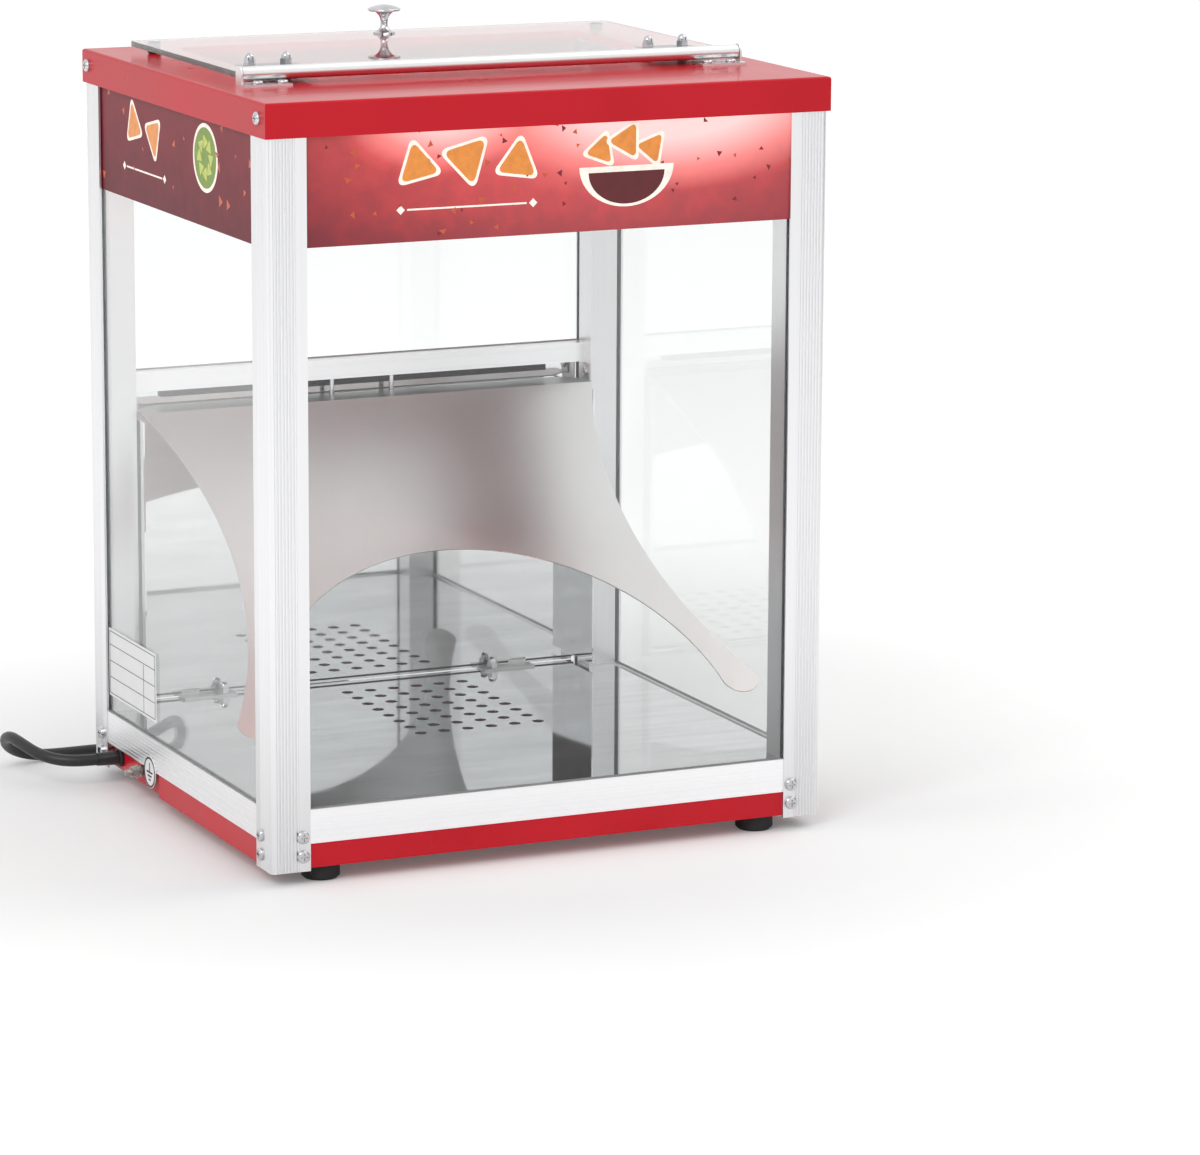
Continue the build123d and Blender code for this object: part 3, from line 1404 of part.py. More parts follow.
tail_way = (Vector(*tail_route[-1]) - Vector(*tail_route[-2])).normalized()
plug_plane = Plane(
    origin=Vector(*tail_route[-1]) + Vector(mid_x, mid_y, 0),
    x_dir=(tail_way.Y, -tail_way.X, 0),
    z_dir=tail_way,
)
plug_face = plug_tail_l + plug_l
with BuildPart() as plug:
    add(
        turned(
            plug_plane,
            [
                (cord_r + 0.5, 0),
                (cord_r + 3.0, plug_tail_l),
                (plug_r - 4.0, plug_tail_l + 3),
                (plug_r, plug_tail_l + 9),
                (plug_r, plug_face - 2),
                (plug_r - 2, plug_face),
            ],
        )
    )
    with BuildSketch(plug_plane.offset(plug_face)):
        with Locations((-plug_pin_gap, 0), (plug_pin_gap, 0)):
            Circle(plug_pin_r)
    extrude(amount=plug_pin_l)
    fillet(plug.edges().sort_by(Axis(plug_plane.origin, plug_plane.z_dir))[-2:], plug_pin_r * 0.6)
plug.part.label = "plug"
export_step(plug.part, "parts/plug.step")
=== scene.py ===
"""Looks of the chip warmer: finishes, backlit signs with printed chips, mains lead, camera and studio.

Metres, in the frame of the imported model: +Z up, +X to the right seen from the front, front towards -Y.
"""
import math
import random

import bmesh
import bpy
from mathutils import Matrix, Vector


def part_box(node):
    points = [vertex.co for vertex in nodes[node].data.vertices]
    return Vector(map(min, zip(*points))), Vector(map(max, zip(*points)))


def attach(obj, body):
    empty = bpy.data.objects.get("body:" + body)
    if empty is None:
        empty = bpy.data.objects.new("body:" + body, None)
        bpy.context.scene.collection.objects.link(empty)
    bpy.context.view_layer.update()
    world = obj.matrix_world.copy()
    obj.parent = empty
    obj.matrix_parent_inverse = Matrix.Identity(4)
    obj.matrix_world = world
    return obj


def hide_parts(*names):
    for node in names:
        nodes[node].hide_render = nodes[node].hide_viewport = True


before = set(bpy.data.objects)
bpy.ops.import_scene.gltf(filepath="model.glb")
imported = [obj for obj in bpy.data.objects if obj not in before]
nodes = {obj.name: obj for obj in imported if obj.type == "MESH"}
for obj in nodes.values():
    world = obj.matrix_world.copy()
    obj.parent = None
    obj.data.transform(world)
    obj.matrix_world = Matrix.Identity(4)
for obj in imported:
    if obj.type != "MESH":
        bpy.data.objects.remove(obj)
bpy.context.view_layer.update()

MM = 0.001
UP = Vector((0.0, 0.0, 1.0))
FRONT = Vector((0.0, -1.0, 0.0))
LEFT = Vector((-1.0, 0.0, 0.0))
REAR = Vector((0.0, 1.0, 0.0))
RIGHT = Vector((1.0, 0.0, 0.0))

cap_low, cap_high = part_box("top_cap")
middle = Vector(((cap_low.x + cap_high.x) / 2, (cap_low.y + cap_high.y) / 2, 0.0))

# ------------------------------------------------------------------ camera
PICTURE_W = 1200
SENSOR_W = 36.0
FOCAL_PX = 5312.5
CAMERA_YAW = math.radians(24.819)
CAMERA_PITCH = math.radians(11.908)
CAMERA_ROLL = math.radians(-0.302)
CAMERA_BACK = 3.9252
CAMERA_ACROSS = 0.1135
CAMERA_UP = 1.0006


def place_camera():
    """The photograph's long lens, ahead of the warmer and to its left."""
    ahead = Vector((math.sin(CAMERA_YAW), math.cos(CAMERA_YAW), 0.0))
    across = Vector((math.cos(CAMERA_YAW), -math.sin(CAMERA_YAW), 0.0))
    look = ahead * math.cos(CAMERA_PITCH) - UP * math.sin(CAMERA_PITCH)
    above = ahead * math.sin(CAMERA_PITCH) + UP * math.cos(CAMERA_PITCH)
    camera_right = across * math.cos(CAMERA_ROLL) - above * math.sin(CAMERA_ROLL)
    camera_up = above * math.cos(CAMERA_ROLL) + across * math.sin(CAMERA_ROLL)
    data = bpy.data.cameras.new("camera")
    data.sensor_width = SENSOR_W
    data.lens = FOCAL_PX / PICTURE_W * SENSOR_W
    data.clip_end = 50.0
    camera = bpy.data.objects.new("camera", data)
    bpy.context.scene.collection.objects.link(camera)
    turn = Matrix((camera_right, camera_up, -look)).transposed()
    where = middle - ahead * CAMERA_BACK + across * CAMERA_ACROSS + UP * CAMERA_UP
    camera.matrix_world = Matrix.Translation(where) @ turn.to_4x4()
    bpy.context.scene.camera = camera


place_camera()


# ------------------------------------------------------------------ finishes
def linear(red, green, blue):
    """A colour of 0 to 255, as a screen shows it, as the shader takes it."""
    shares = [channel / 255 for channel in (red, green, blue)]
    return tuple(s / 12.92 if s <= 0.04045 else ((s + 0.055) / 1.055) ** 2.4 for s in shares)


class Finish:
    """One Principled material, with patterns that read Object coordinates."""

    def __init__(self, name, colour, roughness, metallic=0.0):
        self.material = bpy.data.materials.new(name)
        self.material.use_nodes = True
        self.nodes = self.material.node_tree.nodes
        self.links = self.material.node_tree.links
        self.shader = self.nodes["Principled BSDF"]
        self.put("Base Color", (*colour, 1.0))
        self.put("Roughness", roughness)
        self.put("Metallic", metallic)

    def put(self, socket, value):
        """Sets one of the shader's own sockets."""
        self.shader.inputs[socket].default_value = value

    def feed(self, socket, output):
        """Links a pattern to one of the shader's sockets."""
        self.links.new(output, self.shader.inputs[socket])

    def where(self, stretch=(1.0, 1.0, 1.0), centre=(0.0, 0.0, 0.0)):
        """Object coordinates measured from a point and stretched."""
        place = self.nodes.new("ShaderNodeTexCoord")
        mapping = self.nodes.new("ShaderNodeMapping")
        mapping.inputs["Scale"].default_value = stretch
        mapping.inputs["Location"].default_value = [-c * s for c, s in zip(centre, stretch)]
        self.links.new(place.outputs["Object"], mapping.inputs["Vector"])
        return mapping.outputs["Vector"]

    def noise(self, vector, scale, detail=3.0):
        """Cloudy pattern, mostly between 0.3 and 0.7."""
        texture = self.nodes.new("ShaderNodeTexNoise")
        texture.inputs["Scale"].default_value = scale
        texture.inputs["Detail"].default_value = detail
        self.links.new(vector, texture.inputs["Vector"])
        return texture.outputs["Fac"]

    def grains(self, vector, scale):
        """Distance to the nearest of many scattered points."""
        texture = self.nodes.new("ShaderNodeTexVoronoi")
        texture.inputs["Scale"].default_value = scale
        self.links.new(vector, texture.inputs["Vector"])
        return texture.outputs["Distance"]

    def halo(self, vector):
        """1 at the origin of the coordinates, falling to 0 one unit away."""
        texture = self.nodes.new("ShaderNodeTexGradient")
        texture.gradient_type = "SPHERICAL"
        self.links.new(vector, texture.inputs["Vector"])
        return texture.outputs["Fac"]

    def spread(self, value, low, high, start=0.3, end=0.7):
        """Maps start..end to low..high."""
        step = self.nodes.new("ShaderNodeMapRange")
        for socket, number in zip(("From Min", "From Max", "To Min", "To Max"), (start, end, low, high)):
            step.inputs[socket].default_value = number
        self.links.new(value, step.inputs["Value"])
        return step.outputs["Result"]

    def sums(self, operation, first, second):
        """Math of two patterns, or of a pattern and a number."""
        step = self.nodes.new("ShaderNodeMath")
        step.operation = operation
        for socket, term in zip(step.inputs, (first, second)):
            if isinstance(term, (int, float)):
                socket.default_value = term
            else:
                self.links.new(term, socket)
        return step.outputs[0]

    def axis(self, vector, index):
        """One coordinate of a vector."""
        parts = self.nodes.new("ShaderNodeSeparateXYZ")
        self.links.new(vector, parts.inputs[0])
        return parts.outputs[index]

    def ramp(self, value, *stops):
        """Colour along a value, from (place, colour) stops."""
        texture = self.nodes.new("ShaderNodeValToRGB")
        elements = texture.color_ramp.elements
        for element, (place, colour) in zip(elements, (stops[0], stops[-1])):
            element.position = place
            element.color = (*colour, 1.0)
        for place, colour in stops[1:-1]:
            elements.new(place).color = (*colour, 1.0)
        self.links.new(value, texture.inputs["Fac"])
        return texture.outputs["Color"]

    def blend(self, value, first, second, kind="MIX"):
        """Mix of two colours or colour patterns."""
        mix = self.nodes.new("ShaderNodeMixRGB")
        mix.blend_type = kind
        for socket, term in zip(mix.inputs, (value, first, second)):
            if isinstance(term, bpy.types.NodeSocket):
                self.links.new(term, socket)
            else:
                socket.default_value = term if isinstance(term, float) else (*term, 1.0)
        return mix.outputs["Color"]

    def bump(self, height, depth, strength=1.0):
        """Relief of a given depth in metres."""
        relief = self.nodes.new("ShaderNodeBump")
        relief.inputs["Strength"].default_value = strength
        relief.inputs["Distance"].default_value = depth
        self.links.new(height, relief.inputs["Height"])
        self.feed("Normal", relief.outputs["Normal"])


def along(axis, fine, coarse=1.0):
    """Stretch for a grain that runs along an axis: fine across it and coarse along it."""
    return tuple(coarse if index == axis else fine for index in range(3))


def satin_aluminium(name, axis, tone):
    """Anodised extrusion: pale, with faint die lines along its length."""
    made = Finish(name, linear(tone, tone, tone + 2), 0.34, 1.0)
    lines = made.noise(made.where(along(axis, 60.0, 0.02)), 12.0, 0.0)
    shades = made.ramp(
        lines, (0.3, linear(tone - 2, tone - 2, tone)), (0.7, linear(tone + 1, tone + 1, tone + 2))
    )
    made.feed("Base Color", shades)
    made.feed("Roughness", made.spread(lines, 0.32, 0.36))
    return made.material


def red_paint():
    """Glossy stove enamel with a faint orange peel."""
    made = Finish("red_paint", linear(200, 20, 36), 0.3)
    made.put("Coat Weight", 0.24)
    made.put("Coat Roughness", 0.05)
    made.put("Specular IOR Level", 0.1)
    clouds = made.noise(made.where(), 9.0)
    made.feed("Base Color", made.ramp(clouds, (0.3, linear(195, 18, 34)), (0.7, linear(205, 24, 40))))
    peel = made.noise(made.where(), 420.0, 1.0)
    made.feed("Roughness", made.spread(clouds, 0.26, 0.34))
    made.bump(peel, 0.00002, 0.5)
    return made.material


def mirror_steel():
    """Polished stainless sheet, a little wavy, with faint hazy streaks."""
    made = Finish("mirror_steel", linear(216, 217, 218), 0.05, 1.0)
    haze = made.noise(made.where(along(0, 8.0)), 12.0)
    made.feed("Base Color", made.ramp(haze, (0.3, linear(210, 211, 212)), (0.7, linear(222, 223, 224))))
    made.feed("Roughness", made.spread(haze, 0.02, 0.05))
    return made.material


def brushed_steel(name, axis, tone=186):
    """Stainless sheet brushed along an axis."""
    made = Finish(name, linear(tone, tone, tone), 0.34, 1.0)
    lines = made.noise(made.where(along(axis, 26.0, 0.5)), 70.0, 4.0)
    clouds = made.noise(made.where(), 6.0)
    grain = made.ramp(
        lines, (0.3, linear(tone - 3, tone - 3, tone - 2)), (0.7, linear(tone + 3, tone + 3, tone + 3))
    )
    made.feed("Base Color", made.blend(made.spread(clouds, 0.0, 0.3), grain, linear(tone, tone, tone - 2)))
    made.feed("Roughness", made.spread(lines, 0.3, 0.38))
    made.put("Anisotropic", 0.4)
    made.bump(lines, 0.00001, 0.3)
    return made.material


def bright_steel():
    """Nickel-plated screws, nuts and knob."""
    made = Finish("bright_steel", linear(200, 200, 203), 0.12, 1.0)
    clouds = made.noise(made.where(), 180.0)
    made.feed("Base Color", made.ramp(clouds, (0.3, linear(192, 192, 196)), (0.7, linear(208, 208, 211))))
    made.feed("Roughness", made.spread(clouds, 0.08, 0.15))
    return made.material


def earth_steel():
    """Zinc-plated terminal, duller than the screws."""
    made = Finish("earth_steel", linear(176, 174, 168), 0.34, 1.0)
    spots = made.noise(made.where(), 260.0)
    made.feed("Base Color", made.ramp(spots, (0.3, linear(150, 148, 142)), (0.7, linear(190, 188, 182))))
    made.feed("Roughness", made.spread(spots, 0.28, 0.46))
    return made.material


def heater_sheath():
    """Heated steel tube, straw and grey where it has run hot."""
    made = Finish("heater_sheath", linear(120, 112, 104), 0.45, 1.0)
    spots = made.noise(made.where(), 40.0)
    made.feed("Base Color", made.ramp(spots, (0.3, linear(92, 88, 90)), (0.7, linear(142, 126, 104))))
    made.feed("Roughness", made.spread(spots, 0.38, 0.55))
    return made.material


def clear_glass(name, through, bend=1.45):
    """Float glass: clear faces and green ground edges. The pane's thickness lies along one axis."""
    made = Finish(name, (0.935, 0.945, 0.942), 0.0)
    made.put("Transmission Weight", 1.0)
    made.put("IOR", bend)
    place = made.nodes.new("ShaderNodeTexCoord")
    facing = made.sums("ABSOLUTE", made.axis(place.outputs["Normal"], through), 0.0)
    edge = made.spread(facing, 1.0, 0.0, 0.4, 0.6)
    ground = made.noise(made.where(), 300.0)
    green = made.ramp(ground, (0.3, linear(170, 214, 206)), (0.7, linear(204, 236, 230)))
    made.feed("Base Color", made.blend(edge, (0.935, 0.945, 0.942), green))
    made.feed("Roughness", made.sums("MULTIPLY", edge, 0.3))
    lamp_ray = made.nodes.new("ShaderNodeLightPath")
    see_through = made.nodes.new("ShaderNodeBsdfTransparent")
    see_through.inputs["Color"].default_value = (0.96, 0.975, 0.97, 1.0)
    mix = made.nodes.new("ShaderNodeMixShader")
    made.links.new(lamp_ray.outputs["Is Shadow Ray"], mix.inputs[0])
    made.links.new(made.shader.outputs[0], mix.inputs[1])
    made.links.new(see_through.outputs[0], mix.inputs[2])
    made.links.new(mix.outputs[0], made.nodes["Material Output"].inputs["Surface"])
    return made.material


def rubber(name, shade, roughness):
    """Black rubber or vinyl with a fine matt grain."""
    made = Finish(name, linear(shade, shade, shade + 1), roughness)
    grain = made.noise(made.where(), 700.0, 2.0)
    clouds = made.noise(made.where(), 30.0)
    tone = made.ramp(
        clouds, (0.3, linear(shade - 4, shade - 4, shade - 3)), (0.7, linear(shade + 6, shade + 6, shade + 7))
    )
    made.feed("Base Color", tone)
    made.feed("Roughness", made.spread(grain, roughness - 0.06, roughness + 0.06))
    made.bump(grain, 0.00005, 0.5)
    return made.material


def moulded(name, colour, roughness=0.4):
    """Moulded plastic with a fine spark texture."""
    made = Finish(name, linear(*colour), roughness)
    spark = made.grains(made.where(), 900.0)
    made.feed("Roughness", made.spread(spark, roughness - 0.05, roughness + 0.08, 0.0, 0.8))
    lighter = [min(255, channel + 8) for channel in colour]
    made.feed("Base Color", made.ramp(spark, (0.0, linear(*colour)), (0.9, linear(*lighter))))
    made.bump(spark, 0.00003, 0.4)
    return made.material


def white_enamel(name, colour, roughness=0.3):
    """Painted or printed white plate."""
    made = Finish(name, linear(*colour), roughness)
    clouds = made.noise(made.where(), 60.0)
    darker = [channel - 6 for channel in colour]
    made.feed("Base Color", made.ramp(clouds, (0.3, linear(*darker)), (0.7, linear(*colour))))
    made.feed("Roughness", made.spread(clouds, roughness - 0.05, roughness + 0.08))
    return made.material


def lit_tube():
    """The lamp's tube, lit, a little dimmer towards its ends."""
    low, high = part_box("lamp_tube")
    reach = (high.x - low.x) / 2
    centre = (low + high) / 2
    made = Finish("lit_tube", (0.9, 0.9, 0.88), 0.3)
    along_tube = made.sums("ABSOLUTE", made.axis(made.where((1 / reach, 1.0, 1.0), centre), 0), 0.0)
    glow = made.ramp(
        along_tube, (0.0, (1.0, 0.94, 0.85)), (0.9, (1.0, 0.93, 0.83)), (0.97, (0.25, 0.22, 0.2))
    )
    made.feed("Emission Color", glow)
    made.put("Emission Strength", 9.0)
    return made.material


def red_lens():
    """The pilot lamp's faceted red lens."""
    made = Finish("red_lens", linear(190, 20, 16), 0.12)
    made.put("Coat Weight", 1.0)
    clouds = made.noise(made.where(), 350.0)
    made.feed("Emission Color", made.ramp(clouds, (0.3, linear(150, 10, 8)), (0.7, linear(220, 40, 24))))
    made.put("Emission Strength", 0.35)
    return made.material


def woven_strap():
    """Hook-and-loop strap: black, with a fine weave."""
    made = Finish("tie_strap", linear(30, 30, 32), 0.85)
    weave = made.grains(made.where(), 800.0)
    made.feed("Base Color", made.ramp(weave, (0.0, linear(20, 20, 22)), (0.9, linear(46, 46, 50))))
    made.bump(weave, 0.0002, 0.7)
    return made.material


# ------------------------------------------------------------------ signs
# Across from the sign's middle, half width and depth of each bright patch.
LAMP_SPOTS = ((-0.09, 0.085, 0.055), (0.105, 0.16, 0.075))


def front_print():
    """Backlit red sign with painted light: a painted glow where the lamp stands behind it, and painted shade
    towards the bottom and the ends.
    """
    low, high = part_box("front_sign")
    centre = (low + high) / 2
    made = Finish("sign_front", linear(176, 30, 36), 0.32)
    tall = high.z - low.z
    rise = made.axis(made.where((1.0, 1.0, 1 / tall), (centre.x, centre.y, low.z)), 2)
    mottle = made.noise(made.where(), 55.0, 6.0)
    lifted = made.sums("ADD", rise, made.spread(mottle, -0.22, 0.22))
    # Painted backlight: the ground colour grows lighter towards the top, where the lamp stands behind the
    # sign.
    ground = made.ramp(
        lifted,
        (0.0, linear(128, 30, 42)),
        (0.35, linear(164, 38, 46)),
        (0.7, linear(188, 52, 54)),
        (1.0, linear(200, 70, 66)),
    )
    # Painted shade: the ground colour darkens towards the sign's ends, further from the lamp.
    wide = (high.x - low.x) / 2
    ends = made.sums("ABSOLUTE", made.axis(made.where((1 / wide, 1.0, 1.0), centre), 0), 0.0)
    shade = made.spread(ends, 0.0, 0.55, 0.55, 1.05)
    ground = made.blend(shade, ground, linear(122, 34, 48))
    made.feed("Base Color", ground)
    # Painted backlight: bright patches and a wider glow where the lamp stands behind the sign, given as
    # emission.
    hot = None
    for across, half_wide, deep in LAMP_SPOTS:
        stretch = (1 / half_wide, 0.0, 1 / deep)
        patch = made.halo(made.where(stretch, (centre.x + across, centre.y, high.z)))
        hot = patch if hot is None else made.sums("MAXIMUM", hot, patch)
    painted_lamp_glow = made.halo(made.where((1 / 0.3, 0.0, 1 / 0.15), (centre.x + 0.05, centre.y, high.z)))
    light = made.ramp(
        made.sums("ADD", made.sums("MULTIPLY", hot, 0.9), made.sums("MULTIPLY", painted_lamp_glow, 0.6)),
        (0.0, (0.0, 0.0, 0.0)),
        (0.3, (0.28, 0.05, 0.05)),
        (0.55, (0.66, 0.24, 0.22)),
        (0.9, (0.95, 0.68, 0.66)),
    )
    made.feed("Emission Color", light)
    made.put("Emission Strength", 1.0)
    return made.material


def side_print(name, node):
    """Side sign: the same red, darker and unlit."""
    low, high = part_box(node)
    made = Finish(name, linear(120, 36, 48), 0.42)
    made.put("Specular IOR Level", 0.2)
    rise = made.axis(made.where((1.0, 1.0, 1 / (high.z - low.z)), low), 2)
    mottle = made.noise(made.where(), 55.0, 6.0)
    lifted = made.sums("ADD", rise, made.spread(mottle, -0.18, 0.18))
    ground = made.ramp(
        lifted, (0.0, linear(104, 22, 36)), (0.5, linear(124, 34, 46)), (1.0, linear(138, 46, 56))
    )
    made.feed("Base Color", ground)
    return made.material


def ink(name, colour, glow=0.0):
    """Printed colour on a sign; any glow is painted backlight, the light behind the sign given as emission.
    """
    made = Finish(name, linear(*colour), 0.36)
    darker = [channel * 0.9 for channel in colour]
    mottle = made.noise(made.where(), 160.0, 4.0)
    tone = made.ramp(mottle, (0.3, linear(*darker)), (0.7, linear(*colour)))
    made.feed("Base Color", tone)
    if glow:
        made.feed("Emission Color", tone)
        made.put("Emission Strength", glow)
    return made.material


def dress(names, material):
    """Gives CAD nodes a finish."""
    for name in names:
        data = nodes[name].data
        data.materials.clear()
        data.materials.append(material)


black_rubber = rubber("black_rubber", 26, 0.62)
foot_rubber = rubber("foot_rubber", 22, 0.7)
cord_rubber = rubber("cord_rubber", 30, 0.42)
nickel = bright_steel()
enamel = white_enamel("white_enamel", (232, 233, 234))
black_plastic = moulded("black_plastic", (22, 22, 24))

posts = [name for name in nodes if name.startswith("post_") and name != "post_screws"]
# The uprights get a darker tone and the rails a lighter one: painted shade on the uprights and painted light
# on the rails, which are one aluminium.
dress(posts, satin_aluminium("aluminium_upright_painted_shade", 2, 228))
dress(("rail_front", "cross_rail"), satin_aluminium("aluminium_across_painted_light", 0, 248))
dress(("rail_left", "rail_right"), satin_aluminium("aluminium_deep_painted_light", 1, 248))
dress(("top_cap", "base_pan", "control_panel"), red_paint())
mirror_sheet = mirror_steel()
dress(("floor_plate", "rear_door"), mirror_sheet)
dress(("baffle",), brushed_steel("brushed_baffle", 0, 192))
dress(("lid_rail", "lid_brackets"), brushed_steel("brushed_rail", 0, 232))
dress(("hinge_fixed", "hinge_door_leaves", "heater_brackets"), brushed_steel("brushed_small", 0, 190))
dress(("front_glass", "rear_glass"), clear_glass("glass_facing_front", 1))
dress(("left_glass", "right_glass"), clear_glass("glass_facing_side", 0))
dress(("lid_glass",), clear_glass("glass_lid", 2, 1.7))
dress(("front_sign",), front_print())
dress(("left_sign",), side_print("sign_left", "left_sign"))
dress(("right_sign",), side_print("sign_right", "right_sign"))
dress(("glass_gaskets",), rubber("grey_gasket", 150, 0.6))
dress(("door_stop", "lid_bumpers"), black_rubber)
dress(("feet",), foot_rubber)
dress(("cap_screws", "post_screws", "bracket_screws", "lid_bolts", "lid_acorn_nuts", "lid_knob"), nickel)
dress(("baffle_screws", "door_handle", "handle_screws", "hinge_pins", "hinge_bolts"), nickel)
dress(("lamp_tube",), lit_tube())
dress(("lamp_batten",), enamel)
dress(("switch_housings", "heat_rocker", "light_rocker", "thermostat_body", "thermostat_knob"), black_plastic)
dress(("pilot_lamp",), red_lens())
dress(("heating_element",), heater_sheath())
dress(("strain_relief", "plug", "cord_run", "cord_coil", "cord_tail"), cord_rubber)
dress(("coil_tie",), woven_strap())
dress(("earth_terminal",), earth_steel())
dress(("earth_disc", "data_plate"), white_enamel("white_plate", (240, 240, 241), 0.4))

# ------------------------------------------------------------------ mains lead
CORD_R = 4.5 * MM
CORD_LIE = 5.7 * MM
RISEN_LIE = 16.5 * MM
COIL_MIDDLE = Vector((0.0, 0.285, 0.0))
COIL_R = 58.0 * MM
COIL_PITCH = 11.2 * MM
TURNS_IN = 3  # half turns of the lower layer
TURNS_OUT = 4  # half turns of the upper layer
STEPS = 8  # points in a half turn

# The lead's line from its sleeve, from the middle of the cabinet: round to the back and along the table.
CORD_RUN = (
    (-0.2338, 0.1410, 0.0220),
    (-0.2495, 0.1415, 0.0220),
    (-0.2645, 0.1490, 0.0230),
    (-0.2750, 0.1630, 0.0260),
    (-0.2810, 0.1800, 0.0305),
    (-0.2840, 0.1970, 0.0325),
    (-0.2835, 0.2130, 0.0275),
    (-0.2775, 0.2265, 0.0180),
    (-0.2650, 0.2350, 0.0095),
    (-0.2480, 0.2370, 0.0052),
    (-0.2280, 0.2370, 0.0047),
    (-0.2010, 0.2380, 0.0047),
    (-0.1710, 0.2330, 0.0047),
    (-0.1330, 0.2286, 0.0047),
    (-0.0920, 0.2270, 0.0049),
    (-0.0500, 0.2270, 0.0057),
    (-0.0090, 0.2270, 0.0057),
)
CORD_TAIL = (
    (0.0090, 0.2214, 0.0165),
    (0.0280, 0.2214, 0.0165),
    (0.0480, 0.2233, 0.0180),
    (0.0680, 0.2278, 0.0180),
)


def coil_points():
    """Half turns that wind in on the table, climb and wind out on top, as the lead is put away."""
    reaches = [COIL_R - COIL_PITCH / 2 * turn for turn in range(TURNS_IN + 1)]
    reaches += [reaches[-1] + COIL_PITCH / 2 * turn for turn in range(TURNS_OUT + 1)]
    swell = 4 / (3 + math.cos(math.pi / STEPS))  # the spline runs inside its points by this much
    points = []
    for turn, (reach, next_reach) in enumerate(zip(reaches, reaches[1:])):
        side = (-1) ** turn
        radius = (reach + next_reach) / 2
        drift = side * (next_reach - reach) / 2
        start_z = CORD_LIE if turn <= TURNS_IN else RISEN_LIE
        end_z = CORD_LIE if turn + 1 <= TURNS_IN else RISEN_LIE
        for step in range(STEPS):
            angle = math.pi * (step + 0.5) / STEPS
            out = radius * swell
            height = start_z + (end_z - start_z) * (step + 0.5) / STEPS
            flat = Vector((side * out * math.sin(angle), drift - side * out * math.cos(angle), height))
            points.append(COIL_MIDDLE + flat)
    return points


def make_cord():
    """One smooth spline from the sleeve, through the coil's turns, to the plug."""
    data = bpy.data.curves.new("cord_flex", "CURVE")
    data.dimensions = "3D"
    data.resolution_u = 8
    data.bevel_depth = CORD_R
    data.bevel_resolution = 5
    data.use_fill_caps = True
    points = [Vector(point) for point in CORD_RUN] + coil_points() + [Vector(point) for point in CORD_TAIL]
    spline = data.splines.new("NURBS")
    spline.points.add(len(points) - 1)
    for control, point in zip(spline.points, points):
        control.co = (*(point + middle), 1.0)
    spline.order_u = 3
    spline.use_endpoint_u = True
    data.materials.append(cord_rubber)
    made = bpy.data.objects.new("cord_flex", data)
    bpy.context.scene.collection.objects.link(made)
    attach(made, "cabinet")
    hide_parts("cord_run", "cord_coil", "cord_tail")


make_cord()


# ------------------------------------------------------------------ flat printed shapes
def laid_on(point, outward):
    """Matrix that lays a shape drawn in X and Y on a face that looks outward, as read from outside."""
    across = UP.cross(outward)
    turn = Matrix((across, UP, outward)).transposed().to_4x4()
    return Matrix.Translation(point) @ turn


def placed(x, y, turn=0.0, size=(1.0, 1.0, 1.0)):
    """Matrix that places a shape within its drawing."""
    spin = Matrix.Rotation(turn, 4, "Z")
    return Matrix.Translation((x, y, 0.0)) @ spin @ Matrix.Diagonal((*size, 1.0))


def thicken(shape, depth):
    """Flat faces at z = 0 become a closed plate that stands on it."""
    bmesh.ops.solidify(shape, geom=shape.faces[:], thickness=depth)
    lowest = min(vertex.co.z for vertex in shape.verts)
    bmesh.ops.translate(shape, vec=(0.0, 0.0, -lowest), verts=shape.verts)
    bmesh.ops.recalc_face_normals(shape, faces=shape.faces)
    return shape


def disc(radius, sides=32):
    """Flat disc."""
    shape = bmesh.new()
    bmesh.ops.create_circle(shape, cap_ends=True, segments=sides, radius=radius)
    return shape


def ring(outer, inner, sides=32):
    """Flat ring."""
    shape = bmesh.new()
    bmesh.ops.create_circle(shape, cap_ends=False, segments=sides, radius=outer)
    bmesh.ops.create_circle(shape, cap_ends=False, segments=sides, radius=inner)
    bmesh.ops.bridge_loops(shape, edges=shape.edges[:])
    return shape


def bar(width, height):
    """Flat rectangle."""
    shape = bmesh.new()
    bmesh.ops.create_grid(shape, x_segments=1, y_segments=1, size=0.5)
    bmesh.ops.scale(shape, vec=(width, height, 1.0), verts=shape.verts)
    return shape


def outline(width, height, line):
    """Flat frame of a rectangle."""
    shape = bar(width, height)
    border = bmesh.ops.inset_region(
        shape, faces=shape.faces[:], thickness=line, use_boundary=True, use_even_offset=True
    )["faces"]
    core = [face for face in shape.faces if face not in border]
    bmesh.ops.delete(shape, geom=core, context="FACES")
    return shape


def chip(radius):
    """Flat three-cornered chip with rounded corners."""
    shape = disc(radius, 3)
    corners = shape.verts[:]
    bmesh.ops.bevel(
        shape,
        geom=corners,
        offset=radius * 0.32,
        affect="VERTICES",
        segments=6,
        profile=0.5,
        material=-1,
    )
    return shape


def lower_half(shape):
    """Keeps what lies below y = 0."""
    geometry = shape.verts[:] + shape.edges[:] + shape.faces[:]
    bmesh.ops.bisect_plane(
        shape, geom=geometry, plane_co=(0.0, 0.0, 0.0), plane_no=(0.0, 1.0, 0.0), clear_outer=True
    )
    return shape


def drawn(parts, depth):
    """One bmesh of flat parts, each given as (shape, matrix), all of one thickness."""
    sheet = bmesh.new()
    for shape, matrix in parts:
        thicken(shape, depth)
        bmesh.ops.transform(shape, matrix=matrix, verts=shape.verts)
        held = bpy.data.meshes.new("held")
        shape.to_mesh(held)
        shape.free()
        sheet.from_mesh(held)
        bpy.data.meshes.remove(held)
    return sheet


